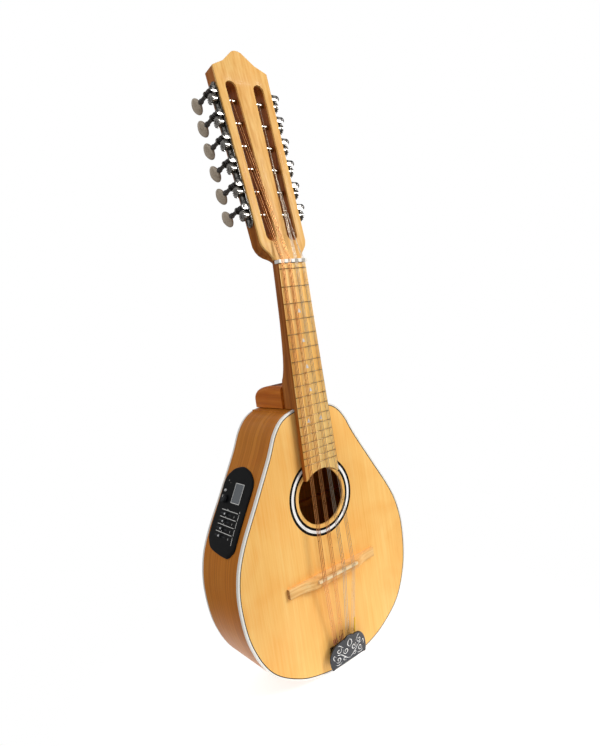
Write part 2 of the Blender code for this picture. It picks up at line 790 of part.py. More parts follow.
def block_outline(half, high, low):
    """Block that follows the rib on its outer edge."""
    follow = body_outline(0.5 * RIB_THICKNESS, FINE_OUTLINE_STEPS)
    outer = [point for point in follow if abs(point[0]) <= half]
    near_top = high > 0.5 * (BODY_TOP_Z + BODY_TAIL_Z)
    edge = [point for point in outer if (point[1] > 0.5 * (BODY_TOP_Z + BODY_TAIL_Z)) == near_top]
    edge.sort(key=lambda point: point[0])
    inner_z = low if near_top else high
    edge = edge[::3] if len(edge) > 8 else edge
    return [*edge, (edge[-1][0], inner_z), (edge[0][0], inner_z)]


def round_bar(radius, sides, low, high):
    return prism(circle(radius, sides), low, high, "Z")


def outline_frame(side, x, z_hint, y):
    """Frame on the body's edge: local Z outwards, local Y towards the back."""
    outline = body_outline(0.0, FINE_OUTLINE_STEPS)
    best = min(range(len(outline)), key=lambda i: (outline[i][0] - side * x) ** 2 + (outline[i][1] - z_hint) ** 2)
    before = Vector(outline[best - 1])
    after = Vector(outline[(best + 1) % len(outline)])
    along = (after - before).normalized()
    outwards = Vector((-along.y, along.x))
    centre = Vector((outline[best][0], 0.0, outline[best][1]))
    z_axis = Vector((outwards.x, 0.0, outwards.y))
    y_axis = Vector((0.0, 1.0, 0.0))
    x_axis = y_axis.cross(z_axis)
    frame = Matrix((x_axis, y_axis, z_axis)).transposed().to_4x4()
    frame.translation = centre + Vector((0.0, y, 0.0))
    return frame


def jack_frame():
    return outline_frame(1.0, JACK_X, JACK_Z, JACK_Y)


def preamp_frame():
    """Frame on the rib at the preamp's middle: local X up the rib, local Y back, local Z outwards."""
    middle_y = 0.5 * (PREAMP_FRONT_Y + PREAMP_BACK_Y)
    top, middle, low = (Vector((-half_width_inside(z, 0.0), z))
                        for z in (PREAMP_TOP_Z, PREAMP_CENTRE_Z, PREAMP_LOW_Z))
    along = (top - low).normalized()
    x_axis = Vector((along.x, 0.0, along.y))
    y_axis = Vector((0.0, 1.0, 0.0))
    z_axis = x_axis.cross(y_axis)
    frame = Matrix((x_axis, y_axis, z_axis)).transposed().to_4x4()
    frame.translation = Vector((middle.x, middle_y, middle.y))
    return frame


def preamp_box(slack, above, depth):
    """Housing behind the panel, in world coordinates."""
    low, high = PREAMP_BOX_ALONG
    half = PREAMP_BOX_HALF_WIDTH + slack
    builder = box((low - slack, -half, -depth - slack), (high + slack, half, above))
    bmesh.ops.transform(builder, matrix=preamp_frame(), verts=builder.verts)
    return builder


def neck_ring(z, half_width, seat_y, depth, power):
    """Cross-section of the neck: flat under the fingerboard, round behind, squarer for a low power."""
    ring = []
    for index in range(NECK_SIDE_STEPS + 1):
        angle = math.pi * index / NECK_SIDE_STEPS
        ring.append((half_width * math.cos(angle), seat_y + depth * math.sin(angle) ** power, z))
    return ring


def build_neck(parts, cutters, head, material):
    base_z = BODY_TOP_Z + FIT
    rings = [neck_ring(z, board_half_width(z), NECK_SEAT_Y, depth, power) for z, depth, power in NECK_STATIONS]
    neck = add_object("neck", loft(rings), parts, material)
    combine(neck, add_object("head_blank", head_blank(), cutters, parent=head), "UNION", cutters)

    combine(neck, add_object("heel_block", heel_solid(base_z), cutters), "UNION", cutters)

    hollow = bmesh.new()
    bmesh.ops.create_uvsphere(hollow, u_segments=12, v_segments=6, radius=1.0)
    bmesh.ops.scale(hollow, vec=HEEL_HOLLOW, verts=hollow.verts)
    bmesh.ops.translate(hollow, vec=(0.0, HEEL_HOLLOW_Y, HEEL_TOP_Z), verts=hollow.verts)
    combine(neck, add_object("heel_hollow", hollow, cutters), "DIFFERENCE", cutters)

    tenon = box((-TENON_HALF_WIDTH, TENON_FRONT_Y, BODY_TOP_Z - TENON_LENGTH),
                (TENON_HALF_WIDTH, TENON_BACK_Y, base_z + CUT_OVERRUN))
    combine(neck, add_object("heel_tenon", tenon, cutters), "UNION", cutters)

    tongue_half = board_half_width(TONGUE_END_Z) - 2.0 * TONGUE_INSET
    tongue = box((-tongue_half, NECK_SEAT_Y + TONGUE_STEP, TONGUE_END_Z),
                 (tongue_half, SOUNDBOARD_Y - FIT, base_z + CUT_OVERRUN))
    combine(neck, add_object("board_tongue", tongue, cutters), "UNION", cutters)

    for side, name in side_names():
        combine(neck, add_object(f"slot_cut_{name}", slot_solid(side), cutters, parent=head), "DIFFERENCE", cutters)
        for index in range(TUNERS_PER_SIDE):
            bore = add_object(f"roller_bore_{name}_{index + 1}", roller_bore(side, index), cutters, parent=head)
            combine(neck, bore, "DIFFERENCE", cutters)
    return neck


def heel_solid(base_z):
    """Heel with flat sides, rounded over along the top, as sections from the bass to the treble side."""
    back_y = back_face_y(BODY_TOP_Z) - HEEL_BACK_MARGIN
    along, down = HEEL_ROUND
    right = []
    for x, drop in HEEL_ACROSS:
        back = back_y - HEEL_BACK_SHARE * drop
        ring = [(x, HEEL_FRONT_Y, base_z), (x, HEEL_FRONT_Y, HEEL_TOP_Z - drop)]
        for index in range(HEEL_ROUND_STEPS + 1):
            angle = 0.5 * math.pi * index / HEEL_ROUND_STEPS
            height = HEEL_TOP_Z - drop - (down - 0.5 * drop) * (1.0 - math.cos(angle))
            ring.append((x, back - along * (1.0 - math.sin(angle)), height))
        right.append(ring + [(x, back, base_z)])
    left = [[(-x, y, z) for x, y, z in ring] for ring in reversed(right)]
    builder = loft(left + right)
    bmesh.ops.triangulate(builder, faces=builder.faces)
    return builder


def head_blank():
    """Head without its veneer: the throat widens out of the neck, then the slab runs up to the crest."""
    full = HEAD_THICKNESS
    stations = list(HEAD_THROAT)
    upper = [*HEAD_SHOULDER[-2:], (head_half_width(HEAD_CORNER_S), HEAD_CORNER_S), *HEAD_CREST]
    stations += [(s, half, full, full, full) for half, s in upper]
    front = VENEER_THICKNESS + FIT
    rings = []
    for s, half, *backs in stations:
        right = [(half, front, s)]
        right += [(half * across, back, s) for across, back in zip(THROAT_ACROSS, backs)]
        rings.append(right + [(-x, off, s) for x, off, s in reversed(right)])
    builder = loft(rings)
    bmesh.ops.triangulate(builder, faces=builder.faces)
    return builder


def slot_solid(side):
    """Cutter for one head slot, with a ramp at the lower end for the strings."""
    builder = prism(slot_outline(side), -CUT_OVERRUN, HEAD_THICKNESS + CUT_OVERRUN)
    for vert in builder.verts:
        if vert.co.z < 0.5 * (SLOT_TOP_S + SLOT_BOTTOM_S):
            rise = vert.co.y * SLOT_RAMP_LENGTH / HEAD_THICKNESS
            vert.co.z += rise
            vert.co.x += side * HEAD_SIDE_SLOPE * rise
    return builder


def roller_bore(side, index):
    """Cutter through the outer cheek and into the middle rib, along the roller's axis."""
    radius = ROLLER_RADIUS + ROLLER_HOLE_CLEARANCE
    inner = SLOT_INSET + 0.5 * SLOT_WIDTH + ROLLER_TIP_DEPTH + FIT
    builder = prism(circle(radius, ROUND_SIDES, turn=math.pi / ROUND_SIDES), -inner, CUT_OVERRUN, "Z")
    bmesh.ops.transform(builder, matrix=rail_matrix(side) @ gear_matrix(side, index), verts=builder.verts)
    return builder


def rail_matrix(side):
    return Matrix.Translation(rail_origin(side)) @ Matrix.Rotation(rail_rotation(side)[1], 4, "Y")


def gear_matrix(side, index):
    """On the rail: origin at the head's side on the roller's axis, local Z outwards."""
    return Matrix.Translation((0.0, ROLLER_OFF, roller_s(index))) @ Matrix.Rotation(side * 0.5 * math.pi, 4, "Y")


def worm_matrix(side, index):
    """On the rail: origin on the worm's axis level with the head's face, local Z backwards."""
    place = (side * WORM_OUT, 0.0, roller_s(index) + WORM_SPACING)
    return Matrix.Translation(place) @ Matrix.Rotation(-0.5 * math.pi, 4, "X")


def build_veneer(parts, cutters, head, material):
    veneer = add_object("head_veneer", prism(head_outline(), 0.0, VENEER_THICKNESS), parts, material, head)
    for side, name in side_names():
        combine(veneer, cutters.objects[f"slot_cut_{name}"], "DIFFERENCE", cutters)


def build_fingerboard(parts, cutters, material):
    start = BOARD_START_Z
    low_half = board_half_width(BOARD_END_Z)
    top_half = board_half_width(start)
    outline = [(-low_half, BOARD_END_Z), (low_half, BOARD_END_Z), (top_half, start), (-top_half, start)]
    board = add_object("fingerboard", prism(outline, BOARD_FACE_Y, BOARD_BACK_Y), parts, material)
    scoop = prism(circle(BOARD_SCOOP_RADIUS, ROUND_STEPS, (0.0, SOUND_HOLE_Z), 0.5 * math.pi),
                  BOARD_FACE_Y - CUT_OVERRUN, BOARD_BACK_Y + CUT_OVERRUN)
    combine(board, add_object("board_scoop", scoop, cutters), "DIFFERENCE", cutters)
    for number in range(FRET_COUNT + 1):
        z = fret_z(number)
        half = board_half_width(z) - FRET_SIDE_MARGIN
        crown = ((z - 0.5 * FRET_WIDTH, BOARD_FACE_Y + FIT), (z + 0.5 * FRET_WIDTH, BOARD_FACE_Y + FIT),
                 (z + FRET_CROWN_SHARE * FRET_WIDTH, FRET_TOP_Y), (z - FRET_CROWN_SHARE * FRET_WIDTH, FRET_TOP_Y))
        fret = prism([(y, place) for place, y in crown], -half, half, "X")
        combine(board, add_object(f"fret_{number:02d}", fret, cutters), "UNION", cutters)


def string_places(course_step, string_step):
    """Sideways places of the twelve strings, from the bass side."""
    places = []
    for course in range(COURSE_COUNT):
        centre = (course - 0.5 * (COURSE_COUNT - 1)) * course_step
        for string in range(STRINGS_PER_COURSE):
            places.append(centre + (string - 0.5 * (STRINGS_PER_COURSE - 1)) * string_step)
    return places


def string_radius(number):
    return STRING_RADII[number // STRINGS_PER_COURSE]


def notched_bar(half, low_y, top_y, notch_y, places, width):
    """Outline across the instrument with a notch under each string; top_y is the front edge."""
    points = [(-half, low_y), (-half, top_y)]
    mouth = 0.5 * width
    floor = NOTCH_FLOOR_SHARE * mouth
    for x in places:
        points += [(x - mouth, top_y), (x - floor, notch_y), (x + floor, notch_y), (x + mouth, top_y)]
    points += [(half, top_y), (half, low_y)]
    return points


def build_nut(parts, material):
    half = board_half_width(BOARD_START_Z) + NUT_OVERHANG
    places = string_places(COURSE_STEP_NUT, STRING_STEP_NUT)
    notch = FRET_TOP_Y + FIT
    outline = notched_bar(half, NECK_SEAT_Y - FIT, NUT_TOP_Y, notch, places, NUT_NOTCH_WIDTH)
    add_object("nut", prism(outline, BOARD_START_Z + FIT, BOARD_START_Z + NUT_LENGTH, "Z"), parts, material)


def build_bridge(parts, cutters, material, bone):
    seat = SOUNDBOARD_Y - FIT
    crest = SOUNDBOARD_Y - BRIDGE_HEIGHT
    wing = SOUNDBOARD_Y - BRIDGE_WING_HEIGHT
    arc = []
    for index in range(BRIDGE_ARC_STEPS + 1):
        share = index / BRIDGE_ARC_STEPS
        x = BRIDGE_CENTRE_HALF + BRIDGE_ARC_LENGTH * share
        arc.append((x, wing + (crest - wing) * (1.0 - math.sin(0.5 * math.pi * share))))
    right = [(BRIDGE_HALF_LENGTH, seat), (BRIDGE_HALF_LENGTH, wing + BRIDGE_TIP_DROP),
             (BRIDGE_HALF_LENGTH - BRIDGE_TIP_CHAMFER, wing)]
    right += reversed(arc)
    outline = right + [(-x, y) for x, y in reversed(right)]
    bridge = add_object("bridge", prism(outline, BRIDGE_Z - BRIDGE_HALF_WIDTH, BRIDGE_Z + BRIDGE_HALF_WIDTH, "Z"),
                        parts, material)
    half = SADDLE_HALF_LENGTH + FIT
    slot = box((-half, crest - CUT_OVERRUN, SADDLE_Z - 0.5 * SADDLE_THICKNESS - FIT),
               (half, crest + SADDLE_SEAT_DEPTH + FIT, SADDLE_Z + 0.5 * SADDLE_THICKNESS + FIT))
    combine(bridge, add_object("saddle_slot", slot, cutters), "DIFFERENCE", cutters)
    places = string_places(COURSE_STEP_SADDLE, STRING_STEP_SADDLE)
    comb = notched_bar(SADDLE_HALF_LENGTH, crest + SADDLE_SEAT_DEPTH, SADDLE_TOP_Y,
                       SADDLE_TOP_Y + SADDLE_NOTCH_DEPTH, places, NUT_NOTCH_WIDTH)
    add_object("saddle", prism(comb, SADDLE_Z - 0.5 * SADDLE_THICKNESS, SADDLE_Z + 0.5 * SADDLE_THICKNESS, "Z"),
               parts, bone)


def build_tailpiece(parts, cutters, material, dark):
    seat = SOUNDBOARD_Y - FIT
    front = seat - TAIL_SHEET
    half = TAIL_TOP_HALF_WIDTH
    foot = TAIL_FOOT_HALF_WIDTH
    outline = [(-half, TAIL_TOP_END_Z), (half, TAIL_TOP_END_Z), (half, TAIL_GUIDE_Z[0]),
               (foot, TAIL_LOW_Z), (-foot, TAIL_LOW_Z), (-half, TAIL_GUIDE_Z[0])]
    plate = prism(outline, front, seat)
    base = add_object("tailpiece_base", plate, parts, material)
    half = TAIL_GUIDE_X + TAIL_SHEET
    outline = [(-half, seat), (-half, TAIL_GUIDE_TOP_Y), (-TAIL_GUIDE_X, TAIL_GUIDE_TOP_Y),
               (-TAIL_GUIDE_X, front - FIT)]
    outline += [(-x, y) for x, y in reversed(outline)]
    wing = prism(outline, TAIL_GUIDE_Z[0] + FIT, TAIL_GUIDE_Z[1], "Z")
    combine(base, add_object("tail_wing", wing, cutters), "UNION", cutters)
    for number, x in enumerate(string_places(COURSE_STEP_TAIL, STRING_STEP_TAIL), start=1):
        low_z = TAIL_HOOK_Z - HOOK_LENGTH
        hook = [(front + FIT, low_z), (front + FIT, TAIL_HOOK_Z),
                (front - HOOK_HEIGHT, TAIL_HOOK_Z - HOOK_SET_BACK), (front - HOOK_HEIGHT, low_z)]
        tool = prism(hook, x - HOOK_HALF_WIDTH, x + HOOK_HALF_WIDTH, "X")
        combine(base, add_object(f"hook_{number:02d}", tool, cutters), "UNION", cutters)

    add_object("tailpiece_cover", cover_solid(), parts, dark)


def cover_front_y(x, drop, share):
    """Front face of the cover: arched at its top edge, flat at its lower edge, slightly domed."""
    low = COVER_HALF_OUTLINE[-1][1]
    half = max(point[0] for point in COVER_HALF_OUTLINE)
    arch = COVER_ARCH * (1.0 - (x / half) ** 2) * (1.0 - min(drop / low, 1.0))
    return COVER_RIM_Y - arch - COVER_DOME * (1.0 - share ** 2)


def cover_solid():
    """Pressed three-lobed sheet with a turned-in lip round its edge."""
    half = [Vector(point) for point in COVER_HALF_OUTLINE]
    rim = half + [Vector((-point.x, point.y)) for point in reversed(half[1:])]
    centre = Vector((0.0, 0.5 * COVER_HALF_OUTLINE[-1][1]))
    layers = [(share, 0.0) for share in reversed(COVER_RINGS)]
    layers += [(COVER_RINGS[0], COVER_LIP_DEPTH), (COVER_RINGS[1], COVER_LIP_DEPTH)]
    layers += [(share, COVER_SHEET) for share in COVER_RINGS[1:]]
    builder = bmesh.new()
    rings = []
    for share, back in layers:
        ring = []
        for point in rim:
            place = centre.lerp(point, share)
            y = cover_front_y(place.x, place.y, share) + back
            ring.append(builder.verts.new((place.x, y, COVER_TOP_Z + place.y)))
        rings.append(ring)
    hubs = []
    for back in (0.0, COVER_SHEET):
        y = cover_front_y(centre.x, centre.y, 0.0) + back
        hubs.append(builder.verts.new((centre.x, y, COVER_TOP_Z + centre.y)))
    count = len(rim)
    for index in range(count):
        after = (index + 1) % count
        for first, second in zip(rings, rings[1:]):
            builder.faces.new((first[index], first[after], second[after], second[index]))
        for ring, hub in ((rings[0], hubs[0]), (rings[-1], hubs[1])):
            builder.faces.new((ring[index], ring[after], hub))
    return builder


def build_plate(side, name, parts, cutters, rail, material):
    """Tuner plate on one side of the head: lugs for the worms and holes for the rollers."""
    inner = side * FIT
    outer = side * (FIT + PLATE_THICKNESS)
    front = ROLLER_OFF - 0.5 * PLATE_WIDTH
    back = ROLLER_OFF + 0.5 * PLATE_WIDTH
    top = roller_s(0) + PLATE_END
    low = roller_s(TUNERS_PER_SIDE - 1) - PLATE_FOOT
    half = 0.5 * PLATE_WIDTH
    points = []
    for centre_s, start in ((top - half, 0.0), (low + half, math.pi)):
        for index in range(PLATE_END_STEPS + 1):
            angle = start + math.pi * index / PLATE_END_STEPS
            points.append((ROLLER_OFF + half * math.cos(angle), centre_s + half * math.sin(angle)))
    plate = add_object(f"tuner_plate_{name}", prism(points, inner, outer, "X"), parts, material, rail)
    for index in range(TUNERS_PER_SIDE):
        worm_s = roller_s(index) + WORM_SPACING
        for place, tag, radius in ((front - LUG_THICKNESS, "front", LUG_RADII[0]), (back, "rear", LUG_RADII[1])):
            solid = lug_solid(side, worm_s, place, radius)
            lug = add_object(f"lug_{name}_{tag}_{index + 1}", solid, cutters, parent=rail)
            combine(plate, lug, "UNION", cutters)
        hole = prism(circle(ROLLER_RADIUS + ROLLER_HOLE_CLEARANCE, ROUND_SIDES, (ROLLER_OFF, roller_s(index)),
                            math.pi / ROUND_SIDES), side * (FIT - CUT_OVERRUN),
                     side * (PLATE_THICKNESS + CUT_OVERRUN), "X")
        combine(plate, add_object(f"plate_hole_{name}_{index + 1}", hole, cutters, parent=rail), "DIFFERENCE", cutters)
    return plate


def lug_solid(side, worm_s, place, radius):
    """Bent tab with a round top and a bearing hole, built as a ring joined to a foot."""
    bore = JOURNAL_RADIUS + FIT
    outer = [(FIT, worm_s - radius)]
    for index in range(LUG_ARC_STEPS + 1):
        angle = math.pi * (index / LUG_ARC_STEPS - 0.5)
        outer.append((WORM_OUT + radius * math.cos(angle), worm_s + radius * math.sin(angle)))
    outer.append((FIT, worm_s + radius))
    inner = circle(bore / math.cos(math.pi / LUG_BORE_SIDES), LUG_BORE_SIDES, (WORM_OUT, worm_s))
    low = place - (LUG_LAP if place > ROLLER_OFF else 0.0)
    high = place + LUG_THICKNESS + (LUG_LAP if place < ROLLER_OFF else 0.0)
    builder = bmesh.new()
    layers = []
    for off in (low, high):
        layers.append(([builder.verts.new((side * out, off, s)) for out, s in outer],
                       [builder.verts.new((side * out, off, s)) for out, s in inner]))
    for rim, bore_rim in layers:
        edges = []
        for loop in (rim, bore_rim):
            for index in range(len(loop)):
                edges.append(builder.edges.new((loop[index], loop[(index + 1) % len(loop)])))
        bmesh.ops.triangle_fill(builder, edges=edges, use_beauty=True)
    for which in (0, 1):
        first, second = layers[0][which], layers[1][which]
        for index in range(len(first)):
            after = (index + 1) % len(first)
            builder.faces.new((first[index], first[after], second[after], second[index]))
    return builder


def gear_profile():
    """Tooth outline of the gear, with one tooth centred on local +X."""
    radii = (GEAR_PITCH_RADIUS - GEAR_DEDENDUM, GEAR_PITCH_RADIUS + GEAR_ADDENDUM)
    root = GEAR_ROOT_HALF / radii[0]
    tip = GEAR_TIP_HALF / radii[1]
    points = []
    for tooth in range(GEAR_TEETH):
        middle = 2.0 * math.pi * tooth / GEAR_TEETH
        for offset, radius in ((-root, radii[0]), (-tip, radii[1]), (tip, radii[1]), (root, radii[0])):
            points.append((radius, middle + offset))
    return points


def gear_solid():
    """Wheel with teeth twisted to the worm's lead."""
    low = WORM_OUT - 0.5 * GEAR_WIDTH
    high = WORM_OUT + 0.5 * GEAR_WIDTH
    lead = math.atan(GEAR_PITCH / (2.0 * math.pi * WORM_PITCH_RADIUS))
    rings = []
    for z in (low, high):
        twist = (z - WORM_OUT) * math.tan(lead) / GEAR_PITCH_RADIUS
        rings.append([(r * math.cos(a + twist), r * math.sin(a + twist), z) for r, a in gear_profile()])
    return loft(rings)


def roller_solid():
    """Turned string roller: barrel with its winding, collar, gear seat and screw head."""
    tip = SLOT_INSET + 0.5 * SLOT_WIDTH + ROLLER_TIP_DEPTH
    half = 0.5 * (WINDING_TURNS + 0.5) * WINDING_PITCH
    low = WINDING_OUT - half
    high = WINDING_OUT + half
    gear_low = WORM_OUT - 0.5 * GEAR_WIDTH
    gear_high = WORM_OUT + 0.5 * GEAR_WIDTH
    profile = ((0.0, ROLLER_RADIUS, ROLLER_RADIUS), (0.5, ROLLER_RADIUS + WINDING_HEIGHT, ROLLER_RADIUS))
    collar_z = FIT + PLATE_THICKNESS + FIT
    screw_low = gear_low + SCREW_SET_BACK
    before = [section(-tip, ROLLER_RADIUS, ROLLER_RADIUS, ROUND_SIDES)]
    after = [section(z, r, r, ROUND_SIDES) for r, z in (
        (ROLLER_RADIUS, collar_z), (COLLAR_RADIUS, collar_z), (COLLAR_RADIUS, screw_low),
        (SCREW_RADIUS, screw_low), (SCREW_RADIUS, gear_high + SCREW_HEIGHT))]
    return threaded_shaft(before, (low, high, WINDING_PITCH, profile, low), after, ROUND_SIDES)


def worm_solid(side):
    """Worm shaft with its oval button, along local +Z from the front lug backwards."""
    front = ROLLER_OFF - 0.5 * PLATE_WIDTH - LUG_THICKNESS
    back = ROLLER_OFF + 0.5 * PLATE_WIDTH
    low = ROLLER_OFF - 0.5 * WORM_LENGTH
    high = ROLLER_OFF + 0.5 * WORM_LENGTH
    root_share = WORM_ROOT_HALF / GEAR_PITCH
    crest_share = WORM_CREST_HALF / GEAR_PITCH
    profile = [(share, radius, WORM_ROOT_RADIUS) for share, radius in (
        (-root_share, WORM_ROOT_RADIUS), (-crest_share, WORM_CREST_RADIUS),
        (crest_share, WORM_CREST_RADIUS), (root_share, WORM_ROOT_RADIUS))]
    phase = ROLLER_OFF + (0.5 - WORM_CREST_AZIMUTH) * GEAR_PITCH
    collar_back = back - LUG_LAP - FIT
    rear = back + LUG_THICKNESS + FIT
    turned = ((THRUST_RADIUS, collar_back - THRUST_LENGTH), (THRUST_RADIUS, collar_back),
              (JOURNAL_RADIUS, collar_back), (JOURNAL_RADIUS, rear), (SHAFT_RADIUS, rear),
              (SHAFT_RADIUS, SHAFT_COLLAR_OFF[0] - SHAFT_COLLAR_CHAMFER),
              (SHAFT_COLLAR_RADIUS, SHAFT_COLLAR_OFF[0]), (SHAFT_COLLAR_RADIUS, SHAFT_COLLAR_OFF[1]))
    before = [section(front - PIN_STAND_OUT, JOURNAL_RADIUS, JOURNAL_RADIUS, ROUND_SIDES)]
    after = [section(z, r, r, ROUND_SIDES) for r, z in turned]
    for share in BUTTON_ROWS:
        breadth = math.sqrt(1.0 - share * share)
        thin = BUTTON_HALF_THICKNESS * (BUTTON_RIM_SHARE + (1.0 - BUTTON_RIM_SHARE) * breadth)
        height = BUTTON_OFF + share * BUTTON_HALF_LENGTH
        ring = section(height, thin, BUTTON_HALF_WIDTH * breadth, ROUND_SIDES)
        turn = Matrix.Rotation(side * BUTTON_TURN, 3, "Z")
        after.append([tuple(turn @ Vector(point)) for point in ring])
    return threaded_shaft(before, (low, high, GEAR_PITCH, profile, phase), after, ROUND_SIDES)


def build_tuners(parts, cutters, head, materials):
    for side, name in side_names():
        rail = add_empty(f"tuner_rail_{name}", parts, rail_origin(side), rail_rotation(side), head)
        build_plate(side, name, parts, cutters, rail, materials["nickel"])
        for index in range(TUNERS_PER_SIDE):
            roller = add_object(f"roller_{name}_{index + 1}", roller_solid(), parts, materials["nickel"], rail)
            roller.matrix_local = gear_matrix(side, index)
            wheel = add_object(f"wheel_{name}_{index + 1}", gear_solid(), cutters, parent=rail)
            wheel.matrix_local = gear_matrix(side, index)
            combine(roller, wheel, "UNION", cutters)
            worm = add_object(f"worm_{name}_{index + 1}", worm_solid(side), parts, materials["nickel"], rail)
            worm.matrix_local = worm_matrix(side, index)


def head_point(x, off, s):
    """World place of a point given in head coordinates."""
    frame = Matrix.Translation((0.0, HEAD_FACE_Y, HEAD_START_Z)) @ Matrix.Rotation(-HEAD_TILT, 4, "X")
    return frame @ Vector((x, off, s))


def rail_point(side, out, off, s):
    local = rail_matrix(side) @ Vector((side * out, off, s))
    return head_point(local.x, local.y, local.z)


def string_route(number):
    """Points of one string, from its hook to the roller that it winds on."""
    half = COURSE_COUNT * STRINGS_PER_COURSE // 2
    side = -1.0 if number < half else 1.0
    station = TUNERS_PER_SIDE - 1 - (number if number < half else 2 * half - 1 - number)
    radius = string_radius(number)
    nut_x = string_places(COURSE_STEP_NUT, STRING_STEP_NUT)[number]
    saddle_x = string_places(COURSE_STEP_SADDLE, STRING_STEP_SADDLE)[number]
    tail_x = string_places(COURSE_STEP_TAIL, STRING_STEP_TAIL)[number]
    lift = radius + FIT
    hook = Vector((tail_x, SOUNDBOARD_Y - FIT - TAIL_SHEET - HOOK_STRING_SHARE * HOOK_HEIGHT, TAIL_HOOK_Z + lift))
    saddle_y = SADDLE_TOP_Y + SADDLE_NOTCH_DEPTH - lift
    nut_y = FRET_TOP_Y - lift
    winding = ROLLER_RADIUS + WINDING_HEIGHT + lift
    points = [
        hook,
        Vector((saddle_x, saddle_y, SADDLE_Z - SADDLE_REST_SHARE * SADDLE_THICKNESS)),
        Vector((saddle_x, saddle_y, SADDLE_Z + SADDLE_REST_SHARE * SADDLE_THICKNESS)),
        Vector((nut_x, nut_y, -0.5 * FRET_WIDTH)),
        Vector((nut_x, nut_y, BOARD_START_Z + NUT_LENGTH + FIT)),
        rail_point(side, WINDING_OUT, ROLLER_OFF - winding, roller_s(station)),
    ]
    return points, radius


def tube(points, radius, sides):
    """Round bar through a run of points, mitred at each bend."""
    rings = []
    for index, point in enumerate(points):
        before = points[max(index - 1, 0)]
        after = points[min(index + 1, len(points) - 1)]
        incoming = (point - before).normalized() if index else (after - point).normalized()
        outgoing = (after - point).normalized() if index < len(points) - 1 else incoming
        along = (incoming + outgoing).normalized()
        across = Vector((1.0, 0.0, 0.0))
        across = (across - along * across.dot(along)).normalized()
        upright = along.cross(across)
        ring = []
        for step in range(sides):
            angle = 2.0 * math.pi * step / sides
            ring.append(point + radius * (math.cos(angle) * across + math.sin(angle) * upright))
        rings.append(ring)
    return loft(rings)


def build_strings(parts, materials):
    for number in range(COURSE_COUNT * STRINGS_PER_COURSE):
        points, radius = string_route(number)
        wound = number < COURSE_COUNT * STRINGS_PER_COURSE // 2
        material = materials["bronze_wire"] if wound else materials["steel_wire"]
        add_object(f"string_{number + 1:02d}", tube(points, radius, STRING_SIDES), parts, material)


def rib_height(along):
    """Height of the rib's outer face over the preamp frame at a place along it."""
    frame = preamp_frame().inverted()
    local = [frame @ Vector((x, 0.0, z)) for x, z in body_outline(0.0) if x < 0.0]
    local.sort(key=lambda point: point.x)
    for before, after in zip(local, local[1:]):
        if before.x <= along <= after.x:
            share = (along - before.x) / (after.x - before.x)
            return before.z + (after.z - before.z) * share
    return 0.0


def face_height(along):
    return rib_height(along) + FIT + PREAMP_PLATE


def build_preamp(parts, cutters, material):
    frame = preamp_frame()
    mount = add_empty("preamp_seat", parts, frame.to_translation(), frame.to_euler())
    inner = -FIT
    outer = -(FIT + PREAMP_PLATE)
    low = PREAMP_FRONT_Y - CUT_OVERRUN - SOUNDBOARD_Y
    high = PREAMP_BACK_Y + CUT_OVERRUN - SOUNDBOARD_Y
    band = sweep_outline(((outer, low, False), (inner, low, False), (inner, high, False), (outer, high, False)))
    panel = add_object("preamp_panel", band, parts, material)
    shape = prism(PREAMP_OUTLINE, -PREAMP_STAMP_HALF_DEPTH, PREAMP_STAMP_HALF_DEPTH, "Z")
    stamp = add_object("preamp_shape", shape, cutters, parent=mount)
    combine(panel, stamp, "INTERSECT", cutters)
    housing = add_object("preamp_housing", preamp_box(0.0, PREAMP_BOX_LAP, PREAMP_BOX_DEPTH), cutters)
    combine(panel, housing, "UNION", cutters)
    pocket_floor = face_height(DISPLAY_CENTRE[0]) - DISPLAY_DEPTH
    half_along, half_across = 0.5 * DISPLAY_SIZE[0], 0.5 * DISPLAY_SIZE[1]
    display = box((DISPLAY_CENTRE[0] - half_along, DISPLAY_CENTRE[1] - half_across, pocket_floor),
                  (DISPLAY_CENTRE[0] + half_along, DISPLAY_CENTRE[1] + half_across, PANEL_CUT_TOP))
    combine(panel, add_object("display_pocket", display, cutters, parent=mount), "DIFFERENCE", cutters)
    for number in range(SLIDER_COUNT):
        along = SLIDER_FIRST - SLIDER_STEP * number
        top = face_height(along)
        slot = box((along - 0.5 * SLIDER_SLOT_WIDTH, SLIDER_SLOT[0], top - SLIDER_SLOT_DEPTH),
                   (along + 0.5 * SLIDER_SLOT_WIDTH, SLIDER_SLOT[1], top + CUT_OVERRUN))
        combine(panel, add_object(f"slider_slot_{number + 1}", slot, cutters, parent=mount), "DIFFERENCE", cutters)
        slider = add_object(f"eq_slider_{number + 1}", slider_solid(), parts, material, mount)
        slider.location = (along, SLIDER_ACROSS, top)
    for name, place, radius in (("volume_knob", KNOB_PLACE, KNOB_STEM_RADIUS),
                                ("tune_button", TUNE_BUTTON_PLACE, TUNE_BUTTON_RADIUS)):
        top = face_height(place[0])
        below = TUNE_BUTTON_TRAVEL if name == "tune_button" else FIT
        well = prism(circle(radius + FIT, BORE_SIDES, place), top - STEM_DEPTH - below, top + CUT_OVERRUN, "Z")
        combine(panel, add_object(f"{name}_well", well, cutters, parent=mount), "DIFFERENCE", cutters)
        solid = knob_solid() if name == "volume_knob" else tune_button_solid()
        control = add_object(name, solid, parts, material, mount)
        control.location = (place[0], place[1], top)
    return mount


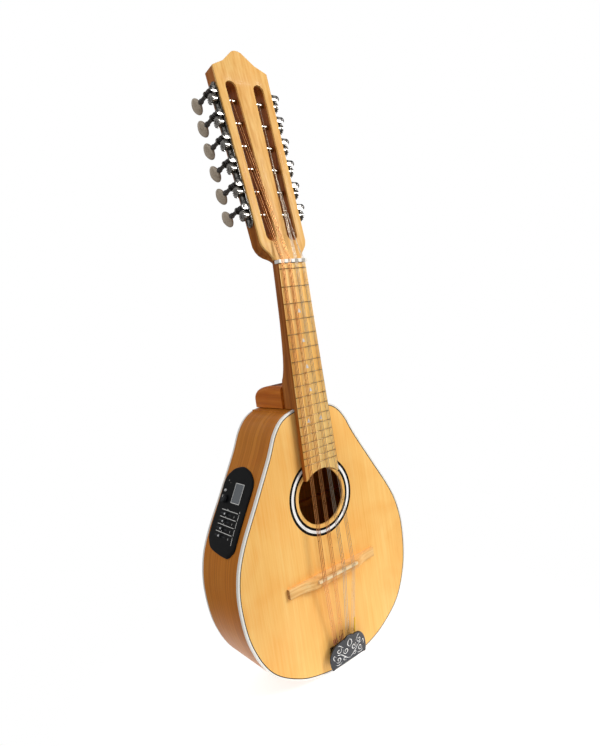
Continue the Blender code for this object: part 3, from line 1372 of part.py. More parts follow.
def slider_solid():
    """Slider cap with the tongue that runs in the panel's slot."""
    half_cap = 0.5 * SLIDER_CAP[0]
    half_tongue = 0.5 * SLIDER_SLOT_WIDTH - FIT
    half_top = SLIDER_CAP_TAPER * half_cap
    low = -SLIDER_SLOT_DEPTH + FIT
    points = [(-half_tongue, low), (half_tongue, low), (half_tongue, SLIDER_CAP_LIFT),
              (half_cap, SLIDER_CAP_LIFT), (half_top, SLIDER_CAP[2]), (-half_top, SLIDER_CAP[2]),
              (-half_cap, SLIDER_CAP_LIFT), (-half_tongue, SLIDER_CAP_LIFT)]
    half = 0.5 * SLIDER_CAP[1]
    return prism(points, -half, half, "Y")


def knob_solid():
    rows = ((KNOB_STEM_RADIUS, -STEM_DEPTH), (KNOB_STEM_RADIUS, KNOB_LIFT), (KNOB_RADIUS, KNOB_LIFT),
            (KNOB_RADIUS, KNOB_SIDE_SHARE * KNOB_HEIGHT), (KNOB_TOP_SHARE * KNOB_RADIUS, KNOB_HEIGHT))
    return loft([section(z, r, r, KNOB_SIDES) for r, z in rows])


def tune_button_solid():
    rows = ((TUNE_BUTTON_RADIUS, -STEM_DEPTH + FIT), (TUNE_BUTTON_RADIUS, TUNE_BUTTON_TAPER * TUNE_BUTTON_HEIGHT),
            (TUNE_BUTTON_TAPER * TUNE_BUTTON_RADIUS, TUNE_BUTTON_HEIGHT))
    return loft([section(z, r, r, BORE_SIDES) for r, z in rows])


def build_jack(parts, material):
    rows = ((JACK_END_SHARE * JACK_BARREL_RADIUS, -JACK_LENGTH),
            (JACK_BARREL_RADIUS, -JACK_LENGTH + JACK_END_CHAMFER),
            (JACK_BARREL_RADIUS, JACK_FLANGE_LIFT), (JACK_FLANGE_RADIUS, JACK_FLANGE_LIFT),
            (JACK_FLANGE_RADIUS, JACK_FLANGE_LIFT + JACK_FLANGE_THICKNESS),
            (JACK_TOP_SHARE * JACK_FLANGE_RADIUS, JACK_TOP), (JACK_SOCKET_RADIUS, JACK_TOP),
            (JACK_SOCKET_RADIUS, -JACK_SOCKET_DEPTH))
    jack = add_object("output_jack", loft([section(z, r, r, BORE_SIDES) for r, z in rows]), parts, material)
    jack.matrix_world = jack_frame()


def main():
    clear_scene()
    parts = new_collection("twelve_string_mandolin")
    cutters = new_collection("cutters")
    materials = make_materials()
    head = add_empty("head_face", parts, (0.0, HEAD_FACE_Y, HEAD_START_Z), (-HEAD_TILT, 0.0, 0.0))
    build_soundboard(parts, cutters, materials["pale_wood"])
    build_rosette(parts, materials["rosette_inlay"])
    build_back(parts, cutters, materials["amber_wood"])
    build_bindings(parts, materials["ivory_plastic"])
    build_sides(parts, cutters, materials["amber_wood"])
    build_neck(parts, cutters, head, materials["neck_wood"])
    build_veneer(parts, cutters, head, materials["pale_wood"])
    build_fingerboard(parts, cutters, materials["board_wood"])
    build_nut(parts, materials["ivory_plastic"])
    build_bridge(parts, cutters, materials["board_wood"], materials["ivory_plastic"])
    build_tailpiece(parts, cutters, materials["nickel"], materials["dark_nickel"])
    build_tuners(parts, cutters, head, materials)
    build_strings(parts, materials)
    build_preamp(parts, cutters, materials["black_plastic"])
    build_jack(parts, materials["nickel"])


main()
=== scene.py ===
import math

import bmesh
import bpy
from mathutils import Matrix, Vector
from mathutils.bvhtree import BVHTree


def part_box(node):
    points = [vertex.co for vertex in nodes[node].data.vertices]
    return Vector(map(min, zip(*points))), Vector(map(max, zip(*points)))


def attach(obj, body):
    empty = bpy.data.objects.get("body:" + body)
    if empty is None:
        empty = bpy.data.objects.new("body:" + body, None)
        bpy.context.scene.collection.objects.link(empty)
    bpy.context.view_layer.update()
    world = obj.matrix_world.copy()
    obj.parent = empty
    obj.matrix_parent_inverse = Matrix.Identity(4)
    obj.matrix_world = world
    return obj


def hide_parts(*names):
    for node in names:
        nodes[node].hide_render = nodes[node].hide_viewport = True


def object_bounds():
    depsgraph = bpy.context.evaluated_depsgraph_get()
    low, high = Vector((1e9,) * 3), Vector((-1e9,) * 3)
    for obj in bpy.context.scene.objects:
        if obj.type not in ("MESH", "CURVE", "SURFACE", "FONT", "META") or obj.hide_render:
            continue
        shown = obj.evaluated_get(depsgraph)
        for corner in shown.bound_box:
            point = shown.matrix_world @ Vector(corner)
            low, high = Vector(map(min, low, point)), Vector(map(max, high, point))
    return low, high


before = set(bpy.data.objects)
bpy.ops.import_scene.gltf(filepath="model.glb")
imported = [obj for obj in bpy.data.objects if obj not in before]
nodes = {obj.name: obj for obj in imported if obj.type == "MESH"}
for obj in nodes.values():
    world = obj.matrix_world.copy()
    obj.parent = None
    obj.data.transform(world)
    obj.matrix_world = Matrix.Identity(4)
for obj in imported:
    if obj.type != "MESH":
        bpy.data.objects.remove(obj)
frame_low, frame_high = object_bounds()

scene = bpy.context.scene

# Camera: a standing instrument seen from a little above its middle, off its bass side.
# The place and lens were solved from the frets, the body's outline and the head.
CAMERA_PLACE = (-0.3882452, -0.4982476, -0.0576735)
CAMERA_RIGHT = Vector((0.774108570, -0.616515794, -0.143750469))
CAMERA_DOWN = Vector((-0.170728850, 0.015344440, -0.985198563))
CAMERA_AHEAD = Vector((0.609596245, 0.787193003, -0.093378770))
camera_data = bpy.data.cameras.new("camera")
camera_data.sensor_width = 36.0
camera_data.lens = 26.9217
camera_data.shift_y = 0.00013
camera_data.clip_start = 0.01
camera = bpy.data.objects.new("camera", camera_data)
camera_frame = Matrix((CAMERA_RIGHT, -CAMERA_DOWN, -CAMERA_AHEAD)).transposed().to_4x4()
camera_frame.translation = Vector(CAMERA_PLACE)
camera.matrix_world = camera_frame
scene.collection.objects.link(camera)
scene.camera = camera
scene.render.resolution_x = 600
scene.render.resolution_y = 746
scene.render.engine = "CYCLES"
scene.view_settings.view_transform = "Standard"

# Floor and light: a pale floor that fades into a white surround, a large soft key light
# from the treble side, a fill from the bass side and a lamp behind for the edges.


def fill(tree, target, inputs):
    """Set a node's inputs to values, or link them to sockets of other nodes."""
    for key, value in inputs.items():
        if isinstance(value, bpy.types.NodeSocket):
            tree.links.new(value, target.inputs[key])
        else:
            target.inputs[key].default_value = value


def node(tree, kind, inputs=None, **settings):
    made = tree.nodes.new(kind)
    for key, value in settings.items():
        setattr(made, key, value)
    fill(tree, made, inputs or {})
    return made


def share_of(tree, value, low, high, to_low=0.0, to_high=1.0, **settings):
    """Value moved from one range to another and held inside it."""
    inputs = {"Value": value, "From Min": low, "From Max": high, "To Min": to_low, "To Max": to_high}
    return node(tree, "ShaderNodeMapRange", inputs, **settings).outputs["Result"]


def mix_of(tree, share, first, second, **settings):
    return node(tree, "ShaderNodeMix", {"Factor": share, "A": first, "B": second}, **settings).outputs["Result"]


def object_spot(tree):
    return node(tree, "ShaderNodeTexCoord").outputs["Object"]


def dress(material, inputs):
    """Set or link inputs of a material's shader."""
    fill(material.node_tree, material.node_tree.nodes["Principled BSDF"], inputs)
    return material


def new_material(name, colour, roughness, metallic=0.0, coat=0.0):
    material = bpy.data.materials.new(name)
    material.use_nodes = True
    return dress(material, {"Base Color": (*colour, 1.0), "Roughness": roughness, "Metallic": metallic,
                            "Coat Weight": coat, "Coat Roughness": 0.12})


world = bpy.data.worlds.new("surround")
scene.world = world
world.use_nodes = True
tree = world.node_tree
tree.nodes.clear()
seen = node(tree, "ShaderNodeBackground", {"Color": (1.0, 1.0, 1.0, 1.0), "Strength": 1.0})
direction = node(tree, "ShaderNodeTexCoord").outputs["Generated"]
height = node(tree, "ShaderNodeSeparateXYZ", {"Vector": direction}).outputs["Z"]
tone = mix_of(tree, share_of(tree, height, -0.6, 0.9), (0.30, 0.28, 0.26, 1.0), (0.70, 0.70, 0.71, 1.0),
              data_type="RGBA")
path = node(tree, "ShaderNodeLightPath").outputs
bands = node(tree, "ShaderNodeTexWave", {"Vector": direction, "Scale": 0.9, "Distortion": 2.0, "Detail": 1.0})
bands = share_of(tree, bands.outputs["Fac"], 0.35, 0.75, 0.05, 1.0)
strength = mix_of(tree, path["Is Glossy Ray"], 0.72, bands)
soft = node(tree, "ShaderNodeBackground", {"Color": tone, "Strength": strength})
mixed = node(tree, "ShaderNodeMixShader",
             {"Fac": path["Is Camera Ray"], 1: soft.outputs[0], 2: seen.outputs[0]})
node(tree, "ShaderNodeOutputWorld", {"Surface": mixed.outputs[0]})

FLOOR_GAP = 0.0006
FLOOR_RADIUS = 1.2
builder = bmesh.new()
bmesh.ops.create_circle(builder, cap_ends=True, segments=64, radius=FLOOR_RADIUS)
bmesh.ops.translate(builder, verts=builder.verts, vec=(0.0, 0.03, frame_low.z - FLOOR_GAP))
floor_mesh = bpy.data.meshes.new("floor")
builder.to_mesh(floor_mesh)
builder.free()
floor = bpy.data.objects.new("floor", floor_mesh)
scene.collection.objects.link(floor)
floor_material = dress(new_material("floor", (0.50, 0.50, 0.50), 0.9),
                       {"Emission Color": (1.0, 1.0, 1.0, 1.0), "Emission Strength": 0.78})
tree = floor_material.node_tree
flat = node(tree, "ShaderNodeVectorMath", {0: object_spot(tree), 1: (1.0, 1.0, 0.0)}, operation="MULTIPLY")
reach = node(tree, "ShaderNodeVectorMath", {0: flat.outputs[0]}, operation="LENGTH").outputs["Value"]
fade = share_of(tree, reach, 0.12, 0.34, interpolation_type="SMOOTHSTEP")
clear = node(tree, "ShaderNodeBsdfTransparent").outputs[0]
mixed = node(tree, "ShaderNodeMixShader", {"Fac": fade, 1: tree.nodes["Principled BSDF"].outputs[0], 2: clear})
fill(tree, tree.nodes["Material Output"], {"Surface": mixed.outputs[0]})
floor_mesh.materials.append(floor_material)


def area_light(name, place, size, power, mirrored):
    """Rectangular lamp turned to the instrument; mirrored says whether it shows in reflections."""
    data = bpy.data.lights.new(name, "AREA")
    data.shape = "RECTANGLE"
    data.size, data.size_y = size
    data.energy = power
    lamp = bpy.data.objects.new(name, data)
    lamp.location = place
    lamp.visible_glossy = mirrored
    aim = Vector((0.0, 0.03, -0.15))
    lamp.rotation_euler = (aim - Vector(place)).to_track_quat("-Z", "Y").to_euler()
    scene.collection.objects.link(lamp)


area_light("key", (0.75, -1.15, 0.55), (0.6, 0.7), 19.0, True)
area_light("fill", (-1.25, -0.25, 0.55), (0.25, 1.0), 3.6, False)
area_light("edge", (-0.35, 1.1, 0.5), (0.8, 0.8), 3.0, False)

# Soundboard: a pale lacquered softwood plate with a round sound hole and cross braces
# glued underneath. Its edge stops at a black line inside the binding.
SOUNDBOARD_Y = -0.0030
SOUNDBOARD_T = 0.0026
TOP_Z = -0.1546
TAIL_Z = -0.4696
PURFLING_INNER = 0.0031
# Treble half of the body's outline, from the neck round to the tail: (across, up).
BODY_KNOTS = (
    (0.0000, TOP_Z), (0.0220, -0.1556), (0.0400, -0.1625), (0.0530, -0.1770), (0.0650, -0.2010),
    (0.0900, -0.2440), (0.1115, -0.2810), (0.1230, -0.3100), (0.1270, -0.3450), (0.1210, -0.3900),
    (0.1010, -0.4300), (0.0660, -0.4555), (0.0300, -0.4668), (0.0000, TAIL_Z),
)
HOLE_Z = -0.2614
HOLE_RADIUS = 0.0330
BRACE_SHORT = 0.012
PLATE_EDGE = 0.00035


def noise(tree, spot, scale, **more):
    return node(tree, "ShaderNodeTexNoise", {"Vector": spot, "Scale": scale, **more}).outputs["Fac"]


def bump(tree, height, strength, depth):
    made = node(tree, "ShaderNodeBump", {"Strength": strength, "Distance": depth, "Height": height})
    return made.outputs["Normal"]


def ramp(tree, factor, stops):
    """Colours at (place, colour) stops."""
    made = node(tree, "ShaderNodeValToRGB", {"Fac": factor})
    elements = made.color_ramp.elements
    elements.remove(elements[1])
    elements[0].position = stops[0][0]
    elements[0].color = (*stops[0][1], 1.0)
    for place, colour in stops[1:]:
        elements.new(place).color = (*colour, 1.0)
    return made.outputs["Color"]


def wood(name, tones, roughness, coat, line_scale, stretch, line_share, pore_depth, turn=(0.0, 0.0, 0.0),
         layout=None):
    """Fine grain lines, slow changes of tone and short pores; layout names an attribute to follow."""
    material = new_material(name, tones[1], roughness, 0.0, coat)
    tree = material.node_tree
    spot = object_spot(tree)
    if layout:
        spot = node(tree, "ShaderNodeAttribute", attribute_name=layout).outputs["Vector"]
    along = node(tree, "ShaderNodeMapping", {"Vector": spot, "Rotation": turn}).outputs["Vector"]
    along = node(tree, "ShaderNodeMapping", {"Vector": along, "Scale": (1.0, 0.55, stretch)}).outputs["Vector"]
    lines = noise(tree, along, line_scale, Detail=3.0, Roughness=0.6)
    slow = noise(tree, along, 0.13 * line_scale, Detail=2.0, Distortion=0.4)
    both = mix_of(tree, line_share, slow, share_of(tree, lines, 0.34, 0.68))
    colour = ramp(tree, both, ((0.25, tones[0]), (0.50, tones[1]), (0.78, tones[2])))
    clouds = share_of(tree, noise(tree, spot, 15.0, Detail=2.0, Distortion=0.9), 0.42, 0.70)
    cloudy = mix_of(tree, clouds, (1.0, 1.0, 1.0, 1.0), (0.97, 0.86, 0.74, 1.0), data_type="RGBA")
    pores = share_of(tree, noise(tree, along, 5.0 * line_scale, Detail=1.0), 0.60, 0.72)
    in_pore = 1.0 - pore_depth
    shade = mix_of(tree, pores, cloudy, (in_pore, in_pore, in_pore, 1.0), data_type="RGBA")
    final = mix_of(tree, 1.0, colour, shade, data_type="RGBA", blend_type="MULTIPLY")
    worn = noise(tree, spot, 35.0, Detail=3.0)
    gloss = share_of(tree, worn, 0.0, 1.0, 0.8 * roughness, 1.3 * roughness)
    return dress(material, {"Specular IOR Level": 0.12, "Base Color": final, "Roughness": gloss,
                            "Normal": bump(tree, lines, 0.12, 0.0004)})


def smooth_run(knots, per_span, closed=False):
    """Catmull-Rom curve through points of any dimension."""
    count = len(knots)
    spans = count if closed else count - 1
    run = []
    for index in range(spans):
        if closed:
            p0, p1, p2, p3 = (Vector(knots[(index + step - 1) % count]) for step in range(4))
        else:
            p1, p2 = Vector(knots[index]), Vector(knots[index + 1])
            p0 = Vector(knots[index - 1]) if index else 2.0 * p1 - p2
            p3 = Vector(knots[index + 2]) if index + 2 < count else 2.0 * p2 - p1
        for fine in range(per_span):
            t = fine / per_span
            run.append(0.5 * (2.0 * p1 + (p2 - p0) * t + (2.0 * p0 - 5.0 * p1 + 4.0 * p2 - p3) * t * t
                              + (3.0 * p1 - p0 - 3.0 * p2 + p3) * t ** 3))
    if not closed:
        run.append(Vector(knots[-1]))
    return run


# A mirrored knot is added at each end, so that the outline crosses the centre squarely.
body_right = smooth_run([(-BODY_KNOTS[1][0], BODY_KNOTS[1][1]), *BODY_KNOTS,
                         (-BODY_KNOTS[-2][0], BODY_KNOTS[-2][1])], 8)[8:-8]
body_whole = [Vector(p) for p in body_right] + [Vector((-p.x, p.y)) for p in reversed(body_right[1:-1])]


def body_outline(inset=0.0):
    moved = []
    count = len(body_whole)
    for index, point in enumerate(body_whole):
        along = (body_whole[(index + 1) % count] - body_whole[index - 1]).normalized()
        moved.append((point.x + along.y * inset, point.y - along.x * inset))
    return moved


def half_width(z):
    return max((abs(a.x) for a, b in zip(body_right, body_right[1:]) if b.y <= z <= a.y), default=0.0)


def circle(radius, steps, centre=(0.0, 0.0)):
    return [(centre[0] + radius * math.cos(2.0 * math.pi * index / steps),
             centre[1] + radius * math.sin(2.0 * math.pi * index / steps)) for index in range(steps)]


def add_mesh(name, builder, materials, place=None):
    """New object from a bmesh, with outward faces and its materials."""
    bmesh.ops.recalc_face_normals(builder, faces=builder.faces)
    mesh = bpy.data.meshes.new(name)
    builder.to_mesh(mesh)
    builder.free()
    for material in materials if isinstance(materials, list) else [materials]:
        mesh.materials.append(material)
    item = bpy.data.objects.new(name, mesh)
    if place is not None:
        item.matrix_world = place
    scene.collection.objects.link(item)
    return item


def thicken(builder, faces, depth):
    """Give flat faces a depth along Y."""
    grown = bmesh.ops.extrude_face_region(builder, geom=faces)
    moved = [part for part in grown["geom"] if isinstance(part, bmesh.types.BMVert)]
    bmesh.ops.translate(builder, verts=moved, vec=(0.0, depth, 0.0))


def sheet(loops, low, high, builder=None):
    """Solid sheet between two heights of local Y; loops hold X and Z, and later loops are holes."""
    builder = builder or bmesh.new()
    edges = []
    for loop in loops:
        ring = [builder.verts.new((x, low, z)) for x, z in loop]
        edges += [builder.edges.new((ring[index - 1], ring[index])) for index in range(len(ring))]
    filled = bmesh.ops.triangle_fill(builder, edges=edges, use_beauty=True, use_dissolve=False)
    thicken(builder, [part for part in filled["geom"] if isinstance(part, bmesh.types.BMFace)], high - low)
    return builder


def soften(item, width, segments=2):
    """Small round on every edge that turns by more than 35 degrees."""
    step = item.modifiers.new("rounded edges", "BEVEL")
    step.width = width
    step.segments = segments
    step.limit_method = "ANGLE"
    step.angle_limit = math.radians(35.0)


def finish_piece(item, body, slot, *replaced, crease=38.0):
    """Bake modifiers and place into the mesh, smooth it and hang it on its body."""
    bpy.context.view_layer.update()
    mesh = bpy.data.meshes.new_from_object(item.evaluated_get(bpy.context.evaluated_depsgraph_get()))
    mesh.transform(item.matrix_world)
    item.modifiers.clear()
    item.matrix_world = Matrix.Identity(4)
    item.data = mesh
    for polygon in mesh.polygons:
        polygon.use_smooth = True
    mesh.set_sharp_from_angle(angle=math.radians(crease))
    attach(item, body)
    if replaced:
        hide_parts(*replaced)


def brace(builder, reach, z, seat, crest):
    """Cross brace with swept-down ends, in X and Y."""
    low = seat + 0.35 * (crest - seat)
    points = ((-reach, seat), (reach, seat), (reach, low), (0.6 * reach, crest), (-0.6 * reach, crest),
              (-reach, low))
    front = [builder.verts.new((x, y, z - 0.003)) for x, y in points]
    back = [builder.verts.new((x, y, z + 0.003)) for x, y in points]
    builder.faces.new(front)
    builder.faces.new(back)
    for index in range(len(points)):
        builder.faces.new((front[index - 1], front[index], back[index], back[index - 1]))


pale_wood = wood("pale_wood", ((0.92, 0.49, 0.125), (0.95, 0.54, 0.155), (0.97, 0.60, 0.20)), roughness=0.40,
                 coat=0.06, line_scale=520.0, stretch=0.025, line_share=0.40, pore_depth=0.04)
builder = sheet([body_outline(PURFLING_INNER), circle(HOLE_RADIUS, 96, (0.0, HOLE_Z))],
                SOUNDBOARD_Y, SOUNDBOARD_Y + SOUNDBOARD_T)
for z in (-0.2060, -0.3180, -0.4000):
    brace(builder, half_width(z) - BRACE_SHORT, z, SOUNDBOARD_Y + 0.0024, SOUNDBOARD_Y + 0.0116)
soundboard = add_mesh("soundboard_look", builder, pale_wood)
soften(soundboard, PLATE_EDGE)
finish_piece(soundboard, "instrument", "pale_wood", "soundboard")

# Rosette: flat plastic inlay of black, white and black rings, levelled with the
# soundboard and lacquered over.
# Ring edges from the outside in: (radius, 0 for black or 1 for white).
BANDS = ((0.0461, 0), (0.0432, 0), (0.0399, 1), (0.0371, 0))
RING_STEPS = 96
INLAY_RISE = 0.00006
black_inlay = dress(new_material("black_inlay", (0.004, 0.004, 0.004), 0.34), {"Specular IOR Level": 0.15})
white_inlay = new_material("white_inlay", (0.97, 0.965, 0.94), 0.34, 0.0, 0.1)
builder = bmesh.new()
rings = [[builder.verts.new((x, SOUNDBOARD_Y - INLAY_RISE, z))
          for x, z in circle(radius, RING_STEPS, (0.0, HOLE_Z))] for radius, tone in BANDS]
for first, second, (radius, tone) in zip(rings, rings[1:], BANDS[1:]):
    for index in range(RING_STEPS):
        corners = (first[index - 1], first[index], second[index], second[index - 1])
        builder.faces.new(corners).material_index = tone
thicken(builder, list(builder.faces), 0.0006)
rosette = add_mesh("rosette_look", builder, [black_inlay, white_inlay])
finish_piece(rosette, "instrument", "rosette_inlay", "rosette")

# Bindings: ivory plastic strips bent round both edges of the body, each with a thin
# black line between it and the plate. The outer corner is scraped round.
DEPTHS = (0.0740, 0.0810)
BINDING_WIDTH = 0.0022
BINDING_TALL = 0.0035
ivory = dress(new_material("ivory_plastic", (0.86, 0.84, 0.78), 0.28, 0.0, 0.3),
              {"Subsurface Weight": 0.08, "Subsurface Radius": (0.002, 0.0015, 0.001)})


def back_y(z):
    return SOUNDBOARD_Y + DEPTHS[0] + (DEPTHS[1] - DEPTHS[0]) * (TOP_Z - z) / (TOP_Z - TAIL_Z)


def loft(rings, builder=None, material_index=0, closed_run=False):
    """Skin through closed rings of points, capped at both ends unless the run meets itself."""
    builder = builder or bmesh.new()
    rows = [[builder.verts.new(point) for point in ring] for ring in rings]
    made = []
    for lower, upper in zip(rows, rows[1:] + rows[:1] if closed_run else rows[1:]):
        for index in range(len(lower)):
            after = (index + 1) % len(lower)
            made.append(builder.faces.new((lower[index], lower[after], upper[after], upper[index])))
    if not closed_run:
        made += [builder.faces.new(rows[0]), builder.faces.new(rows[-1])]
    for face in made:
        face.material_index = material_index
    return builder


def sweep_body(profile, builder=None, material_index=0):
    """Sweep (inset, height, from the back) points round the body."""
    outlines = {inset: body_outline(inset) for inset in sorted({point[0] for point in profile})}
    rings = []
    for station in range(len(body_whole)):
        ring = []
        for inset, height, from_back in profile:
            x, z = outlines[inset][station]
            ring.append((x, back_y(z) - height if from_back else SOUNDBOARD_Y + height, z))
        rings.append(ring)
    return loft(rings, builder, material_index, True)


STRIP = ((0.0, BINDING_TALL), (0.0, 0.0007), (0.0002, 0.0002), (0.0007, 0.0), (BINDING_WIDTH, 0.0),
         (BINDING_WIDTH, BINDING_TALL))
LINE = ((BINDING_WIDTH, 0.0), (PURFLING_INNER, 0.0), (PURFLING_INNER, 0.0025), (BINDING_WIDTH, 0.0025))
for name, rear in (("top_binding", False), ("back_binding", True)):
    builder = sweep_body([(inset, height, rear) for inset, height in STRIP])
    sweep_body([(inset, height, rear) for inset, height in LINE], builder, 1)
    binding = add_mesh(name + "_look", builder, [ivory, black_inlay])
    finish_piece(binding, "instrument", "ivory_plastic", name)

# Ribs: thin amber-stained wood bent to the outline, with linings glued along both inner
# edges, and solid blocks under the neck joint and at the tail. Gloss lacquered.
RIB_OUT = 0.00005
RIB_IN = 0.0024
LINING_IN = 0.0082
NECK_BLOCK = (0.030, TOP_Z - 0.0012, TOP_Z - 0.020)
TAIL_BLOCK = (0.032, TAIL_Z + 0.018, TAIL_Z + 0.004)
rib_wood = wood("rib_wood", ((0.47, 0.155, 0.015), (0.55, 0.190, 0.020), (0.63, 0.235, 0.030)), roughness=0.34,
                coat=0.05, line_scale=420.0, stretch=0.014, line_share=0.50, pore_depth=0.08, layout="grain")
builder = sweep_body((
    (RIB_OUT, 0.0035, False), (RIB_IN, 0.0035, False), (RIB_IN, 0.0028, False), (LINING_IN, 0.0028, False),
    (LINING_IN, 0.0058, False), (RIB_IN, 0.0128, False), (RIB_IN, 0.0130, True), (LINING_IN, 0.0060, True),
    (LINING_IN, 0.0030, True), (RIB_IN, 0.0030, True), (RIB_IN, 0.0035, True), (RIB_OUT, 0.0035, True)))
for half, high, low in (NECK_BLOCK, TAIL_BLOCK):
    far = back_y(high) - 0.0032
    loft([[(x, y, z) for x, y in ((-half, 0.0002), (half, 0.0002), (half, far), (-half, far))]
          for z in (low, high)], builder)
ribs = add_mesh("ribs", builder, rib_wood)
finish_piece(ribs, "instrument", "amber_wood", "sides")
# The grain runs along the bent strip, so each point carries its place along and across it.
run_length = [0.0]
for first, second in zip(body_right, body_right[1:]):
    run_length.append(run_length[-1] + (second - first).length)
grain = ribs.data.attributes.new("grain", "FLOAT_VECTOR", "POINT")
for vertex, value in zip(ribs.data.vertices, grain.data):
    spot = Vector((abs(vertex.co.x), vertex.co.z))
    nearest = min(range(len(body_right)), key=lambda index: (body_right[index] - spot).length)
    value.vector = (vertex.co.y, 0.0, run_length[nearest])

# Back: flat plate of amber-stained wood, deeper towards the tail, with three cross braces
# glued inside. Gloss lacquered like the ribs.
BACK_T = 0.0028
amber_wood = wood("amber_wood", ((0.40, 0.125, 0.011), (0.52, 0.175, 0.018), (0.63, 0.235, 0.030)),
                  roughness=0.34, coat=0.05, line_scale=330.0, stretch=0.020, line_share=0.45, pore_depth=0.08)
builder = sheet([body_outline(PURFLING_INNER)], 0.0, BACK_T)
for z in (-0.2100, -0.2900, -0.3750):
    brace(builder, half_width(z) - BRACE_SHORT, z, 0.0026, 0.0118)
for vert in builder.verts:
    vert.co.y = back_y(vert.co.z) - vert.co.y
back = add_mesh("back_look", builder, amber_wood)
soften(back, PLATE_EDGE)
finish_piece(back, "instrument", "amber_wood", "back_plate")

# Neck: one dark stained piece from the heel to the head. The shaft is round behind, the heel is squared with a
# dished top whose inside is painted near-black as painted shade, and the head is a slab cut by two long slots.
BOARD_FACE_Y = -0.0116
BOARD_BACK_Y = -0.0056
NECK_SEAT_Y = BOARD_BACK_Y + 0.0001
# Shaft sections from the head down: (height, depth, how full the curve is).
NECK_STATIONS = (
    (0.0100, 0.0150, 0.85), (0.0000, 0.0152, 0.85), (-0.0300, 0.0158, 0.85), (-0.0600, 0.0170, 0.85),
    (-0.0900, 0.0207, 0.85), (-0.1080, 0.0215, 0.60), (-0.1180, 0.0252, 0.55), (-0.1260, 0.0285, 0.50),
    (TOP_Z + 0.0002, 0.0285, 0.45),
)
HEAD_FRAME = Matrix.Translation((0.0, -0.0056, 0.0100)) @ Matrix.Rotation(-math.radians(9.5), 4, "X")
HEAD_DEPTH = 0.0180
VENEER = 0.0025
SIDE_SLOPE = 0.0245
SHOULDER = ((0.0196, 0.0010), (0.0203, 0.0040), (0.0228, 0.0080), (0.0262, 0.0118), (0.0294, 0.0160),
            (0.0314, 0.0215))
CREST = ((0.0290, 0.2262), (0.0210, 0.2300), (0.0130, 0.2372), (0.0065, 0.2430), (0.0028, 0.2445))
CORNER_S = 0.2225
# Back of the head's lower end: (place along, half width, depth at edge, shoulder, spine).
THROAT = (
    (-0.0005, 0.0192, 0.0036, 0.0106, 0.0148), (0.0010, 0.0196, 0.0052, 0.0114, 0.0152),
    (0.0040, 0.0203, 0.0108, 0.0140, 0.0160), (0.0080, 0.0228, 0.0158, 0.0168, 0.0173),
    (0.0118, 0.0262, HEAD_DEPTH, HEAD_DEPTH, HEAD_DEPTH),
)
HEEL_TOP = -0.1288
HEEL_FOOT = TOP_Z + 0.0003
HEEL_FRONT = 0.0160
HEEL_ACROSS = ((0.0152, 0.0), (0.0178, 0.0002), (0.0198, 0.0011), (0.0212, 0.0026), (0.0220, 0.0046),
               (0.0222, 0.0072))
SLOT_HALF = 0.0070
SLOT_TOP = 0.2065
SLOT_LOW = 0.0225
SLOT_FROM_EDGE = 0.0172
neck_wood = wood("neck_wood", ((0.25, 0.070, 0.009), (0.38, 0.120, 0.017), (0.50, 0.18, 0.034)), roughness=0.38,
                 coat=0.04, line_scale=300.0, stretch=0.030, line_share=0.45, pore_depth=0.15)
heel_wood = wood("heel_wood", ((0.36, 0.085, 0.007), (0.53, 0.150, 0.014), (0.66, 0.22, 0.028)), roughness=0.38,
                 coat=0.05, line_scale=260.0, stretch=0.030, line_share=0.45, pore_depth=0.08,
                 turn=(math.radians(90.0), 0.0, 0.0))
# Painted shade: a near-black copy of the heel wood for the inside of the heel's dish, standing in for the shade
# in the recess.
hollow_painted_shade = wood("hollow_painted_shade", ((0.09, 0.026, 0.006), (0.14, 0.042, 0.009), (0.20, 0.066, 0.014)),
                   roughness=0.45, coat=0.0, line_scale=260.0, stretch=0.030, line_share=0.45, pore_depth=0.08)
neck_tones = [neck_wood, heel_wood, hollow_painted_shade]


def board_half(z):
    return 0.5 * (0.0378 + 0.0100 * z / -0.2189)


def head_half(s):
    return 0.0314 + SIDE_SLOPE * (s - SHOULDER[-1][1])


def arc(centre, radius, start, steps):
    """Half circle of points from a start angle."""
    return [(centre[0] + radius * math.cos(start + math.pi * i / steps),
             centre[1] + radius * math.sin(start + math.pi * i / steps)) for i in range(steps + 1)]


def slot_loop(side):
    loop = []
    for end_s, start in ((SLOT_TOP - SLOT_HALF, 0.0), (SLOT_LOW + SLOT_HALF, math.pi)):
        middle = (head_half(end_s) - SLOT_FROM_EDGE, end_s)
        loop += [(side * x, s) for x, s in arc(middle, SLOT_HALF, start, 14)]
    return loop


def join_by(target, tool, operation):
    step = target.modifiers.new(tool.name, "BOOLEAN")
    step.operation = operation
    step.solver = "EXACT"
    step.object = tool


def tone_form(name, builder, index, place=None):
    """Form that is joined to the neck or cut from it, all in one of the neck's tones."""
    form = add_mesh(name, builder, neck_tones, place)
    for polygon in form.data.polygons:
        polygon.material_index = index
    return form


rings = []
for z, depth, power in smooth_run(NECK_STATIONS, 6):
    rings.append([(board_half(z) * math.cos(math.pi * i / 24),
                   NECK_SEAT_Y + depth * math.sin(math.pi * i / 24) ** power, z) for i in range(25)])
neck = add_mesh("neck_look", loft(rings), neck_tones)

half_heel = []
for x, drop in HEEL_ACROSS:
    rear = back_y(TOP_Z) - 0.0003 - 0.15 * drop
    top = HEEL_TOP - drop
    ring = [(x, HEEL_FRONT, HEEL_FOOT), (x, HEEL_FRONT, top)]
    for index in range(15):
        turn = 0.5 * math.pi * index / 14
        ring.append((x, rear - 0.0460 * (1.0 - math.sin(turn) ** 0.65),
                     top - (0.0150 - 0.5 * drop) * (1.0 - max(math.cos(turn), 0.0) ** 0.65)))
    half_heel.append(ring + [(x, rear, HEEL_FOOT)])
other_half = [[(-x, y, z) for x, y, z in ring] for ring in reversed(half_heel)]
heel = tone_form("heel_form", loft(other_half + half_heel), 1)
